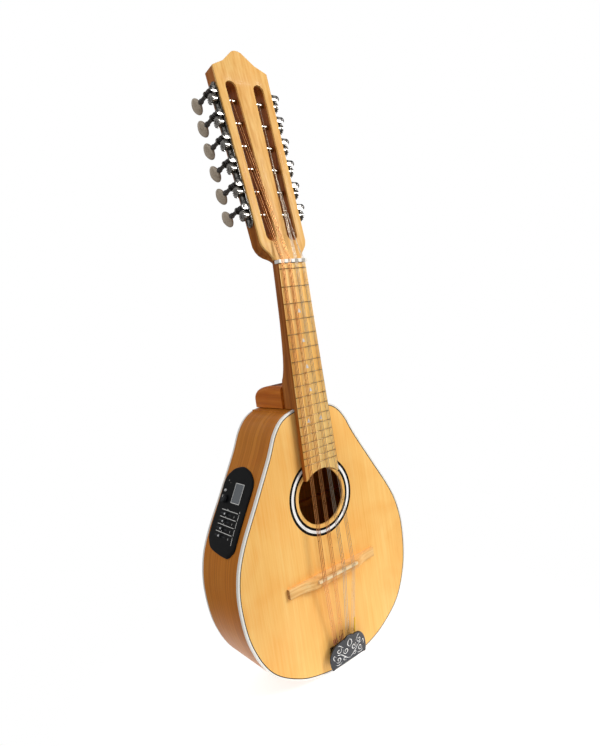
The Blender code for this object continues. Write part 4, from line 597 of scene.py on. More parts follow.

# The dish cut into the heel's top carries the painted-shade tone (index 2).
builder = bmesh.new()
bmesh.ops.create_uvsphere(builder, u_segments=40, v_segments=24, radius=1.0)
bmesh.ops.scale(builder, vec=(0.0160, 0.0150, 0.0080), verts=builder.verts)
bmesh.ops.translate(builder, vec=(0.0, 0.0365, HEEL_TOP), verts=builder.verts)
hollow = tone_form("hollow_form", builder, 2)

stations = [tuple(row) for row in smooth_run(THROAT, 4)]
stations += [(s, half, HEAD_DEPTH, HEAD_DEPTH, HEAD_DEPTH)
             for half, s in (*SHOULDER[-2:], (head_half(CORNER_S), CORNER_S), *CREST)]
rings = []
for s, half, edge, shoulder, spine in stations:
    right = [(half, VENEER + 0.0001, s), (half, edge - 0.0008, s), (half * 0.97, edge, s),
             (half * 0.76, shoulder, s), (half * 0.36, spine, s)]
    rings.append(right + [(-x, y, z) for x, y, z in reversed(right)])
blank = tone_form("head_form", loft(rings), 0, HEAD_FRAME)

tools = [(blank, "UNION"), (heel, "UNION"), (hollow, "DIFFERENCE")]
for side in (-1.0, 1.0):
    builder = sheet([slot_loop(side)], -0.004, HEAD_DEPTH + 0.004)
    # The lower end of each slot slopes up towards the back, along the head's edge.
    for vert in builder.verts:
        if vert.co.z < 0.1:
            rise = vert.co.y * 0.0120 / HEAD_DEPTH
            vert.co.z += rise
            vert.co.x += side * SIDE_SLOPE * rise
    tools.append((tone_form("slot_form", builder, 0, HEAD_FRAME), "DIFFERENCE"))
for tool, operation in tools:
    join_by(neck, tool, operation)
finish_piece(neck, "instrument", "neck_wood", "neck", crease=32.0)
for tool, operation in tools:
    bpy.data.objects.remove(tool, do_unlink=True)

# Head veneer: thin pale striped sheet glued to the face of the head and cut by both
# slots. Its peak is left bare.
veneer_wood = wood("veneer_wood", ((0.68, 0.35, 0.09), (0.79, 0.455, 0.14), (0.85, 0.54, 0.195)),
                   roughness=0.40, coat=0.05, line_scale=330.0, stretch=0.030, line_share=0.42, pore_depth=0.06)
head_right = [tuple(p) for p in (*smooth_run(SHOULDER, 4), (head_half(CORNER_S), CORNER_S), *CREST)]
head_outline = head_right + [(-x, s) for x, s in reversed(head_right)]
builder = sheet([head_outline, slot_loop(-1.0), slot_loop(1.0)], 0.0, VENEER)
veneer = add_mesh("veneer_look", builder, veneer_wood, HEAD_FRAME)
soften(veneer, 0.0003)
finish_piece(veneer, "instrument", "pale_wood", "head_veneer")

# Fingerboard: light striped hardwood with dark stained sides, glued to the neck, with a
# zero fret, seventeen nickel frets, and pearl triangles let in at frets 3, 5, 7, 9 and 12.
BOARD_START = 0.0060
BOARD_END = -0.2365
SCALE = 0.350
FRETS = 17
FRET_TALL = 0.0009
FRET_HALF = 0.0005
SCOOP_RADIUS = 0.0340
board_wood = wood("board_wood", ((0.87, 0.46, 0.11), (1.0, 0.62, 0.20), (1.0, 0.70, 0.28)), roughness=0.45,
                  coat=0.02, line_scale=330.0, stretch=0.022, line_share=0.50, pore_depth=0.12)


def fret_z(number):
    return -SCALE * (1.0 - 2.0 ** (-number / 12.0))


def metal(name, colour, low, high, scale):
    """Metal whose faint smudges take its roughness from low to high."""
    material = new_material(name, colour, low, 1.0)
    tree = material.node_tree
    smudge = noise(tree, object_spot(tree), scale, Detail=4.0, Roughness=0.65)
    return dress(material, {"Roughness": share_of(tree, smudge, 0.3, 0.7, low, high)})


def pearl_material(name, low, high, scale, metallic):
    """Pearl that swirls between a darker and a lighter tone."""
    material = new_material(name, high, 0.22, metallic, 0.6)
    tree = material.node_tree
    between = tuple(0.5 * (a + b) for a, b in zip(low, high))
    swirl = noise(tree, object_spot(tree), scale, Detail=3.0, Distortion=1.6)
    return dress(material, {"Base Color": ramp(tree, swirl, ((0.32, low), (0.52, high), (0.70, between)))})


scoop = []
for index in range(25):
    x = board_half(BOARD_END) * (1.0 - index / 12.0)
    inside = SCOOP_RADIUS ** 2 - x * x
    scoop.append((x, max(BOARD_END, HOLE_Z + math.sqrt(inside)) if inside > 0.0 else BOARD_END))
outline = [(board_half(BOARD_START), BOARD_START)] + scoop + [(-board_half(BOARD_START), BOARD_START)]
board = add_mesh("fingerboard_look", sheet([outline], BOARD_FACE_Y, BOARD_BACK_Y), [board_wood, neck_wood])
soften(board, 0.0003)
finish_piece(board, "instrument", "board_wood", "fingerboard")
for polygon in board.data.polygons:
    if polygon.normal.y > -0.5:
        polygon.material_index = 1

fret_nickel = metal("fret_nickel", (0.34, 0.22, 0.10), 0.26, 0.40, 120.0)
builder = bmesh.new()
for number in range(FRETS + 1):
    z = fret_z(number)
    half = board_half(z) - 0.0003
    arch = [(BOARD_FACE_Y - FRET_TALL * math.sin(math.pi * i / 8), z + FRET_HALF * math.cos(math.pi * i / 8))
            for i in range(9)]
    ends = ((-half, 1.0), (-half + 0.0006, 0.0), (half - 0.0006, 0.0), (half, 1.0))
    loft([[(x, y + drop * 0.6 * (BOARD_FACE_Y - y), along) for y, along in arch] for x, drop in ends], builder)
frets = add_mesh("frets", builder, fret_nickel)
finish_piece(frets, "instrument", "nickel")

pearl = pearl_material("pearl_inlay", (0.66, 0.64, 0.60), (0.92, 0.90, 0.86), 420.0, 0.15)
builder = bmesh.new()
for number, places in ((3, (0.0,)), (5, (0.0,)), (7, (0.0,)), (9, (0.0,)), (12, (-0.0090, 0.0090))):
    middle = 0.5 * (fret_z(number) + fret_z(number - 1))
    for x in places:
        corners = ((x - 0.0024, middle - 0.0022), (x + 0.0024, middle - 0.0022), (x, middle + 0.0026))
        sheet([corners], BOARD_FACE_Y - INLAY_RISE, BOARD_FACE_Y + 0.0005, builder)
marks = add_mesh("pearl_marks", builder, pearl)
finish_piece(marks, "instrument", "ivory_plastic")

# Nut and saddle: thin ivory-coloured bars filed with a notch for each string. The nut
# stands at the head end of the fingerboard, and the yellowed saddle in the bridge's slot.
saddle_bone = new_material("saddle_bone", (0.84, 0.64, 0.36), 0.35, 0.0, 0.2)


def keep_solid(name, material, edge):
    """Show the frame's own solid, with slightly rounded edges."""
    piece = nodes[name]
    piece.data.materials.clear()
    piece.data.materials.append(material)
    soften(piece, edge)


keep_solid("nut", ivory, 0.00018)
keep_solid("saddle", saddle_bone, 0.00018)

# Bridge: the fingerboard's wood, glued to the soundboard, with a raised middle that
# carries the saddle and thin flat wings.
bridge_wood = wood("bridge_wood", ((0.78, 0.42, 0.13), (0.90, 0.56, 0.22), (0.96, 0.66, 0.30)), roughness=0.45,
                   coat=0.02, line_scale=330.0, stretch=0.022, line_share=0.50, pore_depth=0.12,
                   turn=(0.0, math.radians(90.0), 0.0))
end_wood = wood("end_wood", ((0.28, 0.14, 0.045), (0.40, 0.21, 0.075), (0.52, 0.29, 0.11)), roughness=0.5,
                coat=0.0, line_scale=900.0, stretch=1.0, line_share=0.5, pore_depth=0.2)
bridge_right = [(0.0665, -0.0029), (0.0665, -0.0062), (0.0660, -0.0070), (0.0652, -0.0075)]
for index in range(13):
    share = 1.0 - index / 12.0
    bridge_right.append((0.0330 + 0.0220 * share, -0.0075 - 0.0060 * (1.0 - math.sin(0.5 * math.pi * share))))
bridge_outline = bridge_right + [(-x, y) for x, y in reversed(bridge_right)]
builder = loft([[(x, y, z) for x, y in bridge_outline] for z in (-0.3585, -0.3475)])
bridge = add_mesh("bridge_look", builder, [bridge_wood, end_wood])
for polygon in bridge.data.polygons:
    polygon.material_index = int(abs(polygon.normal.x) > 0.8 and abs(polygon.center.x) > 0.06)
soften(bridge, 0.0006, 3)
slot_low, slot_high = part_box("saddle")
builder = bmesh.new()
bmesh.ops.create_cube(builder, size=1.0)
bmesh.ops.scale(builder, verts=builder.verts,
                vec=(slot_high.x - slot_low.x + 0.0004, 0.012, slot_high.z - slot_low.z + 0.0004))
bmesh.ops.translate(builder, verts=builder.verts,
                    vec=(0.0, slot_high.y - 0.0058, 0.5 * (slot_low.z + slot_high.z)))
cut = add_mesh("saddle_form", builder, board_wood)
join_by(bridge, cut, "DIFFERENCE")
finish_piece(bridge, "instrument", "board_wood", "bridge")
bpy.data.objects.remove(cut, do_unlink=True)

# Tuner plates: nickel-plated steel strips along the head's sides. Each has six pairs of
# bent bearing tabs for the worms and is held by seven small slotted screws.
TUNERS = 6
TEETH = 14
WORM_OUT = 0.0078
ROLLER_OFF = 0.0082
GEAR_RADIUS = 0.0056
WORM_RADIUS = 0.0026
GEAR_PITCH = 2.0 * math.pi * GEAR_RADIUS / TEETH
PLATE_GAP = 0.0002
PLATE_T = 0.0012
PLATE_HALF = 0.0060
FRONT_TAB = (ROLLER_OFF - 0.0072, 0.0034)
REAR_TAB = (ROLLER_OFF + 0.0060, 0.0040)
SIDES = ((-1.0, "bass"), (1.0, "treble"))
SIDEWAYS = Matrix(((0, 1, 0, 0), (1, 0, 0, 0), (0, 0, 1, 0), (0, 0, 0, 1)))
nickel = metal("nickel", (0.36, 0.345, 0.32), 0.10, 0.20, 90.0)


def roller_s(index):
    return 0.1869 - 0.0265 * index


def worm_s(index):
    return roller_s(index) + GEAR_RADIUS + WORM_RADIUS


def rail(side):
    """Frame on the head's side: Z along the edge, X out of it, Y to the back."""
    origin = Matrix.Translation((side * (0.0314 - SIDE_SLOPE * SHOULDER[-1][1]), 0.0, 0.0))
    return HEAD_FRAME @ origin @ Matrix.Rotation(side * math.atan(SIDE_SLOPE), 4, "Y")


def outwards(side):
    return Matrix.Rotation(side * 0.5 * math.pi, 4, "Y")


def turned(rows, sides, builder=None, material_index=0, place=Matrix.Identity(4)):
    """Turned solid along local Z from (radius, height) rows."""
    rings = [[place @ Vector((x, y, height)) for x, y in circle(radius, sides)] for radius, height in rows]
    return loft(rings, builder, material_index)


def slotted_screw(builder, place, radius, height):
    """Domed head with a straight slot, as two half domes beside the slot."""
    for half in (-1.0, 1.0):
        rings = []
        for share in (0.0, 0.35, 0.7, 0.92, 1.0):
            r = radius * math.cos(0.5 * math.pi * share) ** 0.6 if share < 1.0 else radius * 0.22
            rings.append([place @ Vector((x, half * max(y, 0.10 * radius), height * share))
                          for x, y in arc((0.0, 0.0), r, 0.0, 12)])
        loft(rings, builder)


for side, name in SIDES:
    strip = arc((ROLLER_OFF, roller_s(0) + 0.0200 - PLATE_HALF), PLATE_HALF, 0.0, 10)
    strip += arc((ROLLER_OFF, roller_s(TUNERS - 1) - 0.0135 + PLATE_HALF), PLATE_HALF, math.pi, 10)
    builder = sheet([strip], side * PLATE_GAP, side * (PLATE_GAP + PLATE_T))
    bmesh.ops.transform(builder, matrix=SIDEWAYS, verts=builder.verts)
    for index in range(TUNERS):
        middle = worm_s(index)
        for low, radius in (FRONT_TAB, REAR_TAB):
            rim = [(0.0004, middle - radius), *arc((WORM_OUT, middle), radius, -0.5 * math.pi, 12),
                   (0.0004, middle + radius)]
            loft([[(side * x, low + step, s) for x, s in rim] for step in (0.0, 0.0012)], builder)
    plate = add_mesh(f"tuner_plate_look_{name}", builder, nickel, rail(side))
    soften(plate, 0.0002)
    finish_piece(plate, "instrument", "nickel", f"tuner_plate_{name}")
    builder = bmesh.new()
    spots = [roller_s(0) + 0.0168, roller_s(TUNERS - 1) - 0.0103]
    spots += [roller_s(index) - 0.0105 for index in range(TUNERS - 1)]
    for spot_s in spots:
        # Each screw stops at its own angle.
        place = (Matrix.Translation((side * (PLATE_GAP + PLATE_T), ROLLER_OFF, spot_s)) @ outwards(side)
                 @ Matrix.Rotation(spot_s * 90, 4, "Z"))
        slotted_screw(builder, place, 0.0021, 0.0010)
    screws = add_mesh(f"plate_screws_{name}", builder, nickel, rail(side))
    finish_piece(screws, "instrument", "nickel")

# String rollers: turned nickel barrels across each slot with a collar, a fourteen-tooth
# gear and a slotted screw outside the plate. Two and a half turns of string are on each.
STRING_RADII = (0.00042, 0.00036, 0.00030, 0.00026)
BARREL = 0.0028
GEAR_LOW = WORM_OUT - 0.0013
GEAR_HIGH = WORM_OUT + 0.0013
GEAR_LEAD = GEAR_PITCH / (2.0 * math.pi * WORM_RADIUS) / GEAR_RADIUS
BARREL_ROWS = ((0.0022, -0.0287), (BARREL, -0.0283), (BARREL, 0.0013), (BARREL, 0.0018), (0.0042, 0.0018),
               (0.0046, 0.0022), (0.0046, GEAR_LOW + 0.0001))
# One gear tooth: (angle, radius).
TOOTH = ((-0.155, 0.00475), (-0.115, 0.0052), (-0.060, 0.0061), (0.060, 0.0061), (0.115, 0.0052),
         (0.155, 0.00475))
GEAR_ROWS = ((0.93, GEAR_LOW), (1.0, GEAR_LOW + 0.0003), (1.0, GEAR_HIGH - 0.0003), (0.93, GEAR_HIGH))
BOSS_ROWS = ((0.0034, GEAR_LOW + 0.0004), (0.0034, GEAR_HIGH + 0.0002), (0.0031, GEAR_HIGH + 0.0004))
WINDING_PITCH = 0.0003
steel_wire = metal("steel_wire", (0.66, 0.57, 0.45), 0.24, 0.36, 150.0)
bronze_wire = metal("bronze_wire", (0.84, 0.42, 0.17), 0.22, 0.38, 150.0)
tree = bronze_wire.node_tree
windings = node(tree, "ShaderNodeTexWave", {"Vector": object_spot(tree), "Scale": 1.0 / WINDING_PITCH / 20.0,
                                            "Distortion": 0.0}, wave_type="BANDS", bands_direction="Z")
dress(bronze_wire, {"Normal": bump(tree, windings.outputs["Fac"], 0.5, 0.00002)})


def helix(builder, radius, bar, pitch, low, turns, material_index, steps=28, taper=0.0):
    """Bar wound round local Z; bar is a list of (out, along) offsets, and taper is in turns."""
    rings = []
    total = int(turns * steps)
    for index in range(total + 1):
        angle = 2.0 * math.pi * index / steps
        reach = min(1.0, index / (taper * steps), (total - index) / (taper * steps)) if taper else 1.0
        reach = max(reach, 0.05)
        rings.append([((radius + out * reach) * math.cos(angle), (radius + out * reach) * math.sin(angle),
                       low + pitch * index / steps + along * reach) for out, along in bar])
    return loft(rings, builder, material_index)


teeth = [(radius, 2.0 * math.pi * tooth / TEETH + offset) for tooth in range(TEETH) for offset, radius in TOOTH]
for side, name in SIDES:
    for index in range(TUNERS):
        number = TUNERS - 1 - index if side < 0.0 else TUNERS + index
        wire_radius = STRING_RADII[number // 3]
        builder = turned(BARREL_ROWS, 28)
        rings = []
        for share, z in GEAR_ROWS:
            twist = (z - WORM_OUT) * GEAR_LEAD
            rings.append([(r * share * math.cos(a + twist), r * share * math.sin(a + twist), z)
                          for r, a in teeth])
        loft(rings, builder)
        turned(BOSS_ROWS, 28, builder)
        slotted_screw(builder, Matrix.Translation((0.0, 0.0, GEAR_HIGH + 0.0002)), 0.0030, 0.0007)
        pitch = 2.15 * wire_radius
        helix(builder, BARREL + wire_radius, circle(wire_radius, 8), pitch, -0.0170 - 1.2 * pitch, 2.5, 1)
        place = rail(side) @ Matrix.Translation((0.0, ROLLER_OFF, roller_s(index))) @ outwards(side)
        roller = add_mesh(f"roller_look_{name}_{index + 1}", builder,
                          [nickel, bronze_wire if number < 6 else steel_wire], place)
        node_name = f"roller_{name}_{index + 1}"
        finish_piece(roller, node_name, "nickel", node_name, crease=30.0)

# Worms: turned nickel shafts in the plate's tabs with a thread that drives the gear, a thick sleeve behind the
# head and an oval pearloid button pressed on the end. The shafts and threads take a much darker copy of the
# nickel as painted shade.
FRONT_Y = FRONT_TAB[0]
SHAFT_ROWS = (
    (0.0011, FRONT_Y - 0.0010), (0.0014, FRONT_Y - 0.0008), (0.0014, FRONT_Y + 0.0016),
    (0.0017, FRONT_Y + 0.0018), (0.0017, ROLLER_OFF + 0.0040), (0.0025, ROLLER_OFF + 0.0042),
    (0.0025, ROLLER_OFF + 0.0056), (0.0014, ROLLER_OFF + 0.0057), (0.0014, ROLLER_OFF + 0.0075),
    (0.0021, ROLLER_OFF + 0.0076), (0.0022, ROLLER_OFF + 0.0079), (0.0022, 0.0252), (0.0024, 0.0258),
    (0.0030, 0.0262), (0.0030, 0.0290), (0.0027, 0.0294), (0.0020, 0.0296), (0.0020, 0.0330))
RIDGE = ((-0.0003, -0.00078), (0.0013, -0.00032), (0.0015, -0.00016), (0.0015, 0.00016), (0.0013, 0.00032),
         (-0.0003, 0.00078))
THREAD_TURNS = 2.6
THREAD_START = ROLLER_OFF - 0.5 * THREAD_TURNS * GEAR_PITCH
THREAD_SPIN = Matrix.Rotation(1.5 * math.pi - 2.0 * math.pi * (0.5 * THREAD_TURNS % 1.0), 3, "Z")
BUTTON_AT = 0.0376
BUTTON_LONG = 0.0076
BUTTON_WIDE = 0.0094
BUTTON_THICK = 0.0026
# Painted shade: a darker copy of the nickel for the shafts and threads, which lie in shade behind the head.
shaft_painted_shade_nickel = metal("shaft_painted_shade_nickel", (0.16, 0.15, 0.145), 0.20, 0.34, 90.0)
button_pearl = pearl_material("button_pearl", (0.40, 0.33, 0.25), (0.58, 0.49, 0.38), 260.0, 0.05)
for side, name in SIDES:
    for index in range(TUNERS):
        builder = turned(SHAFT_ROWS, 24, material_index=1)
        first = len(builder.verts)
        helix(builder, 0.0017, RIDGE, GEAR_PITCH, THREAD_START, THREAD_TURNS, 1, 32, 0.3)
        builder.verts.ensure_lookup_table()
        bmesh.ops.rotate(builder, verts=builder.verts[first:], matrix=THREAD_SPIN)
        rings = []
        turn = Matrix.Rotation(side * math.radians(20.0), 4, "Z")
        for step in range(19):
            share = max(min(-math.cos(math.pi * step / 18), 0.995), -0.995)
            breadth = math.sqrt(1.0 - share * share)
            thin = BUTTON_THICK * (0.55 + 0.45 * breadth) * min(1.0, 2.6 * breadth) ** 0.5
            ring = []
            for i in range(32):
                a = 2.0 * math.pi * (i + 0.5) / 32
                bulge = abs(math.cos(a)) ** 0.8 * (1 if math.cos(a) > 0 else -1)
                ring.append(turn @ Vector((thin * bulge, BUTTON_WIDE * breadth * math.sin(a),
                                           BUTTON_AT + BUTTON_LONG * share)))
            rings.append(ring)
        loft(rings, builder, 2)
        place = (rail(side) @ Matrix.Translation((side * WORM_OUT, 0.0, worm_s(index)))
                 @ Matrix.Rotation(-0.5 * math.pi, 4, "X"))
        worm = add_mesh(f"worm_look_{name}_{index + 1}", builder, [nickel, shaft_painted_shade_nickel, button_pearl], place)
        node_name = f"worm_{name}_{index + 1}"
        finish_piece(worm, node_name, "nickel", node_name, crease=40.0)

# Strings: four courses of three, from a looped end on each tail hook to its roller. The six
# on the bass side are bronze wound with red silk at the tail, and the six on the treble
# side plain steel, the last with yellow silk.
STRINGS = 12
NUT_STEPS = (0.0096, 0.0017)
SADDLE_STEPS = (0.0150, 0.0022)
TAIL_STEPS = (0.0086, 0.0024)
NUT_RISE = 0.0010
SADDLE_Y = -0.0166
SADDLE_Z = -0.3510
HOOK_Y = -0.0045
HOOK_Z = -0.4470
NOTCH = 0.0006
silk_yellow = new_material("silk_yellow", (0.88, 0.56, 0.03), 0.7)
silk_red = new_material("silk_red", (0.34, 0.07, 0.05), 0.7)


def string_x(steps, number):
    return (number // 3 - 1.5) * steps[0] + (number % 3 - 1) * steps[1]


def tube(builder, points, radius, sides=8, material_index=0):
    rings = []
    for index, point in enumerate(points):
        before = points[max(index - 1, 0)]
        after = points[min(index + 1, len(points) - 1)]
        along = ((point - before).normalized() + (after - point).normalized()).normalized()
        across = Vector((1.0, 0.0, 0.0))
        across = (across - along * across.dot(along)).normalized()
        upright = along.cross(across)
        rings.append([point + radius * (x * across + y * upright) for x, y in circle(1.0, sides)])
    return loft(rings, builder, material_index)


for number in range(STRINGS):
    wound = number < 6
    side = -1.0 if wound else 1.0
    station = number if wound else 11 - number
    radius = STRING_RADII[number // 3]
    lift = radius + 0.0001
    hook = Vector((string_x(TAIL_STEPS, number), 1.6 * HOOK_Y, HOOK_Z + lift))
    saddle = Vector((string_x(SADDLE_STEPS, number), SADDLE_Y + NOTCH - lift, SADDLE_Z))
    nut = Vector((string_x(NUT_STEPS, number), BOARD_FACE_Y - NUT_RISE - lift, 0.0))
    past = Vector((nut.x, nut.y, BOARD_START + 0.0040))
    roller_end = rail(side) @ Vector((side * -0.0170, ROLLER_OFF - BARREL - radius,
                                      roller_s(TUNERS - 1 - station) - 0.0002))
    ahead = (saddle - hook).normalized()
    points = [hook, hook.lerp(saddle, 0.5), saddle - ahead * 0.0012, saddle,
              saddle + Vector((0.0, 0.0, 0.0012)), saddle.lerp(nut, 0.3), saddle.lerp(nut, 0.7), nut, past,
              past + (roller_end - past).normalized() * 0.0010, past.lerp(roller_end, 0.6), roller_end]
    builder = bmesh.new()
    tube(builder, points, radius)
    eye = [hook + Vector((0.0010 * math.sin(a), 0.0002, -0.0014 - 0.0014 * math.cos(a)))
           for a in [2.0 * math.pi * (i + 0.5) / 12 for i in range(12)]]
    tube(builder, [*eye, eye[0]], radius * 0.9, 6)
    if wound or number == STRINGS - 1:
        silk_end, silk_thick = (0.0185, 0.00018) if wound else (0.0310, 0.0005)
        tube(builder, [hook + ahead * 0.0130, hook + ahead * silk_end], radius + silk_thick, 12, 1)
    string = add_mesh(f"string_look_{number + 1:02d}", builder,
                      [bronze_wire, silk_red] if wound else [steel_wire, silk_yellow])
    finish_piece(string, "instrument", "bronze_wire" if wound else "steel_wire", f"string_{number + 1:02d}",
                 crease=60.0)

# Tailpiece: a nickel base screwed to the tail with a hook for each string loop, under a
# pressed smoked-nickel cover in three lobes that slides off downwards. Its rim is turned
# in, and a generic leaf scroll is engraved on it.
COVER_TOP = -0.4270
COVER_RIM_Y = -0.0124
COVER_HALF = 0.0282
COVER_KNOTS = (
    (0.0000, 0.0000), (0.0030, -0.0003), (0.0056, -0.0013), (0.0076, -0.0029), (0.0098, -0.0024),
    (0.0121, -0.0027), (0.0170, -0.0044), (0.0213, -0.0073), (0.0248, -0.0114), (0.0272, -0.0163),
    (COVER_HALF, -0.0220), (0.0279, -0.0273), (0.0268, -0.0325), (0.0257, -0.0341), (0.0225, -0.0334),
)
COVER_LOW = COVER_KNOTS[-1][1]
COVER_LAYERS = (
    (0.15, 0.0), (0.35, 0.0), (0.55, 0.0), (0.72, 0.0), (0.86, 0.0), (0.94, 0.0), (0.975, 0.00005),
    (0.992, 0.0002), (1.0, 0.0005), (1.0, 0.0016), (0.965, 0.0016), (0.95, 0.0008), (0.7, 0.0008),
    (0.35, 0.0008))
dark_nickel = metal("dark_nickel", (0.070, 0.073, 0.080), 0.16, 0.34, 50.0)
engraved = metal("engraved_nickel", (0.95, 0.95, 0.94), 0.42, 0.55, 200.0)
keep_solid("tailpiece_base", nickel, 0.00015)
half_cover = smooth_run(COVER_KNOTS, 4)
cover_rim = half_cover + [Vector((-p.x, p.y)) for p in reversed(half_cover[1:])]


def cover_y(place, share):
    """Front face: arched along its top edge, flat along its lower edge, slightly domed."""
    fall = 1.0 - min(place.y / COVER_LOW, 1.0)
    return COVER_RIM_Y - 0.0050 * (1.0 - (place.x / COVER_HALF) ** 2) * fall - 0.0008 * (1.0 - share ** 2)


def ringed_shell(rim, middle, layers, place_point):
    """Shell from rings drawn in to the middle, in (share, back) layers from front to rear."""
    builder = bmesh.new()
    rings = [[builder.verts.new(place_point(middle.lerp(point, share), share, rear)) for point in rim]
             for share, rear in layers]
    hubs = [builder.verts.new(place_point(middle, 0.0, rear)) for rear in (layers[0][1], layers[-1][1])]
    for index in range(len(rim)):
        for first, second in zip(rings, rings[1:]):
            builder.faces.new((first[index - 1], first[index], second[index], second[index - 1]))
        builder.faces.new((rings[0][index - 1], rings[0][index], hubs[0]))
        builder.faces.new((rings[-1][index - 1], rings[-1][index], hubs[1]))
    return builder


def spiral(centre, start, turns, low, high):
    """Scroll line in X and drop below the cover's top, winding from a wide to a tight radius."""
    line = []
    for index in range(26):
        share = index / 25
        radius = high + (low - high) * share
        angle = start + 2.0 * math.pi * turns * share
        line.append(Vector((centre[0] + radius * math.cos(angle), centre[1] + radius * math.sin(angle))))
    return line


builder = ringed_shell(cover_rim, Vector((0.0, 0.5 * COVER_LOW)), COVER_LAYERS,
                       lambda p, share, rear: (p.x, cover_y(p, share) + rear, COVER_TOP + p.y))
cover_tree = BVHTree.FromBMesh(builder)
cover = add_mesh("tailpiece_cover_look", builder, dark_nickel)
finish_piece(cover, "tailpiece_cover", "dark_nickel", "tailpiece_cover", crease=50.0)

strokes = []
for hand in (-1.0, 1.0):
    start = 0.5 * math.pi - hand * 0.5 * math.pi
    strokes += [
        (spiral((hand * 0.0062, -0.0170), start + hand * 0.9, -hand * 1.35, 0.0008, 0.0042), 0.00042),
        (spiral((hand * 0.0160, -0.0132), start + hand * 2.2, hand * 1.15, 0.0007, 0.0038), 0.00038),
        (spiral((hand * 0.0172, -0.0238), start - hand * 0.3, -hand * 1.2, 0.0007, 0.0040), 0.00040),
        (spiral((hand * 0.0080, -0.0262), start + hand * 3.4, hand * 1.0, 0.0006, 0.0028), 0.00034),
    ]
    for knots, width in (
            (((0.0, -0.0045), (0.0028, -0.0075), (0.0030, -0.0115), (0.0, -0.0145)), 0.00045),
            (((0.0, -0.0290), (0.0040, -0.0272), (0.0095, -0.0224), (0.0140, -0.0186), (0.0190, -0.0176)),
             0.00040),
            (((0.0100, -0.0118), (0.0128, -0.0090), (0.0150, -0.0072), (0.0172, -0.0078)), 0.00034),
            (((0.0205, -0.0190), (0.0232, -0.0170), (0.0240, -0.0205), (0.0222, -0.0232)), 0.00034),
            (((0.0122, -0.0285), (0.0152, -0.0302), (0.0190, -0.0300), (0.0216, -0.0284)), 0.00034)):
        strokes.append((smooth_run([(hand * x, z) for x, z in knots], 8), width))
builder = bmesh.new()
for line, width in strokes:
    previous = None
    count = len(line)
    for index, point in enumerate(line):
        along = (line[min(index + 1, count - 1)] - line[max(index - 1, 0)]).normalized()
        half = 0.5 * width * (0.45 + 1.7 * math.sin(math.pi * (index + 0.5) / count))
        corners = []
        for step, rise in ((-1.0, 0.0), (-0.5, 0.00010), (0.5, 0.00010), (1.0, 0.0)):
            x, z = point.x - along.y * half * step, COVER_TOP + point.y + along.x * half * step
            hit = cover_tree.ray_cast(Vector((x, -0.05, z)), Vector((0.0, 1.0, 0.0)))[0]
            corners.append(builder.verts.new((x, hit.y - rise - 0.00001, z)))
        for first in range(3 if previous else 0):
            builder.faces.new((previous[first], previous[first + 1], corners[first + 1], corners[first]))
        previous = corners
scroll = add_mesh("cover_scroll", builder, engraved)
finish_piece(scroll, "tailpiece_cover", "nickel")

# Preamp panel: moulded black plastic bent to the rib, with its housing let into the rib
# behind it. No name is printed on it.
PANEL_FRAME = Matrix(((0.4923791, 0.0, -0.8703809, -0.0935435), (0.0, 1.0, 0.0, 0.03775),
                      (0.8703809, 0.0, 0.4923791, -0.2500000), (0.0, 0.0, 0.0, 1.0)))
PANEL_PROUD = 0.0017
PANEL_KNOTS = (
    (0.0442, 0.0000), (0.0417, 0.0120), (0.0377, 0.0200), (0.0267, 0.0287), (0.0000, 0.0289), (-0.0360, 0.0287),
    (-0.0440, 0.0262), (-0.0505, 0.0200), (-0.0535, 0.0050), (-0.0546, -0.0110), (-0.0538, -0.0180),
    (-0.0490, -0.0240), (-0.0400, -0.0287), (0.0000, -0.0289), (0.0267, -0.0287), (0.0377, -0.0200),
    (0.0417, -0.0120),
)
PANEL_LAYERS = (
    (0.2, 0.0), (0.4, 0.0), (0.6, 0.0), (0.8, 0.0), (0.93, 0.0), (0.965, -0.0001), (0.985, -0.0003),
    (0.997, -0.0007), (1.0, -0.0010), (1.0, -0.0016), (0.96, -0.0016), (0.5, -0.0016))
HOUSING = ((-0.038, -0.0245), (0.030, -0.0245), (0.030, 0.0245), (-0.038, 0.0245))
to_panel = PANEL_FRAME.inverted()
rib_line = sorted((tuple(to_panel @ Vector((p.x, 0.0, p.y))) for p in body_whole if p.x < 0.0),
                  key=lambda p: p[0])


def moulded(name, colour, roughness, depth):
    """Moulded plastic with a fine even grain."""
    material = new_material(name, colour, roughness)
    tree = material.node_tree
    grain = noise(tree, object_spot(tree), 2600.0, Detail=2.0)
    return dress(material, {"Specular IOR Level": 0.20, "Normal": bump(tree, grain, 0.35, depth)})


def rib_height(along):
    for before, after in zip(rib_line, rib_line[1:]):
        if before[0] <= along <= after[0]:
            return before[2] + (after[2] - before[2]) * (along - before[0]) / (after[0] - before[0])
    return 0.0


def on_panel(along, across, rise=0.0):
    return PANEL_FRAME @ Vector((along, across, rib_height(along) + PANEL_PROUD + rise))


def panel_place(along, across):
    """Frame on the panel's face for a piece that stands on it."""
    return Matrix.Translation(on_panel(along, across)) @ PANEL_FRAME.to_3x3().to_4x4()


def prism(builder, outline, low, high, place, material_index=0):
    loft([[place @ Vector((x, y, z)) for x, y in outline] for z in (low, high)], builder, material_index)


black_plastic = moulded("black_plastic", (0.0035, 0.0040, 0.0050), 0.34, 0.00005)
panel_rim = [Vector(p) for p in smooth_run(PANEL_KNOTS, 6, True)]
builder = ringed_shell(panel_rim, Vector((-0.005, 0.0)), PANEL_LAYERS,
                       lambda p, share, rise: on_panel(p.x, p.y, rise))
prism(builder, HOUSING, -0.0200, 0.0004, PANEL_FRAME)
panel = add_mesh("preamp_panel_look", builder, black_plastic)
finish_piece(panel, "instrument", "black_plastic", "preamp_panel", crease=30.0)

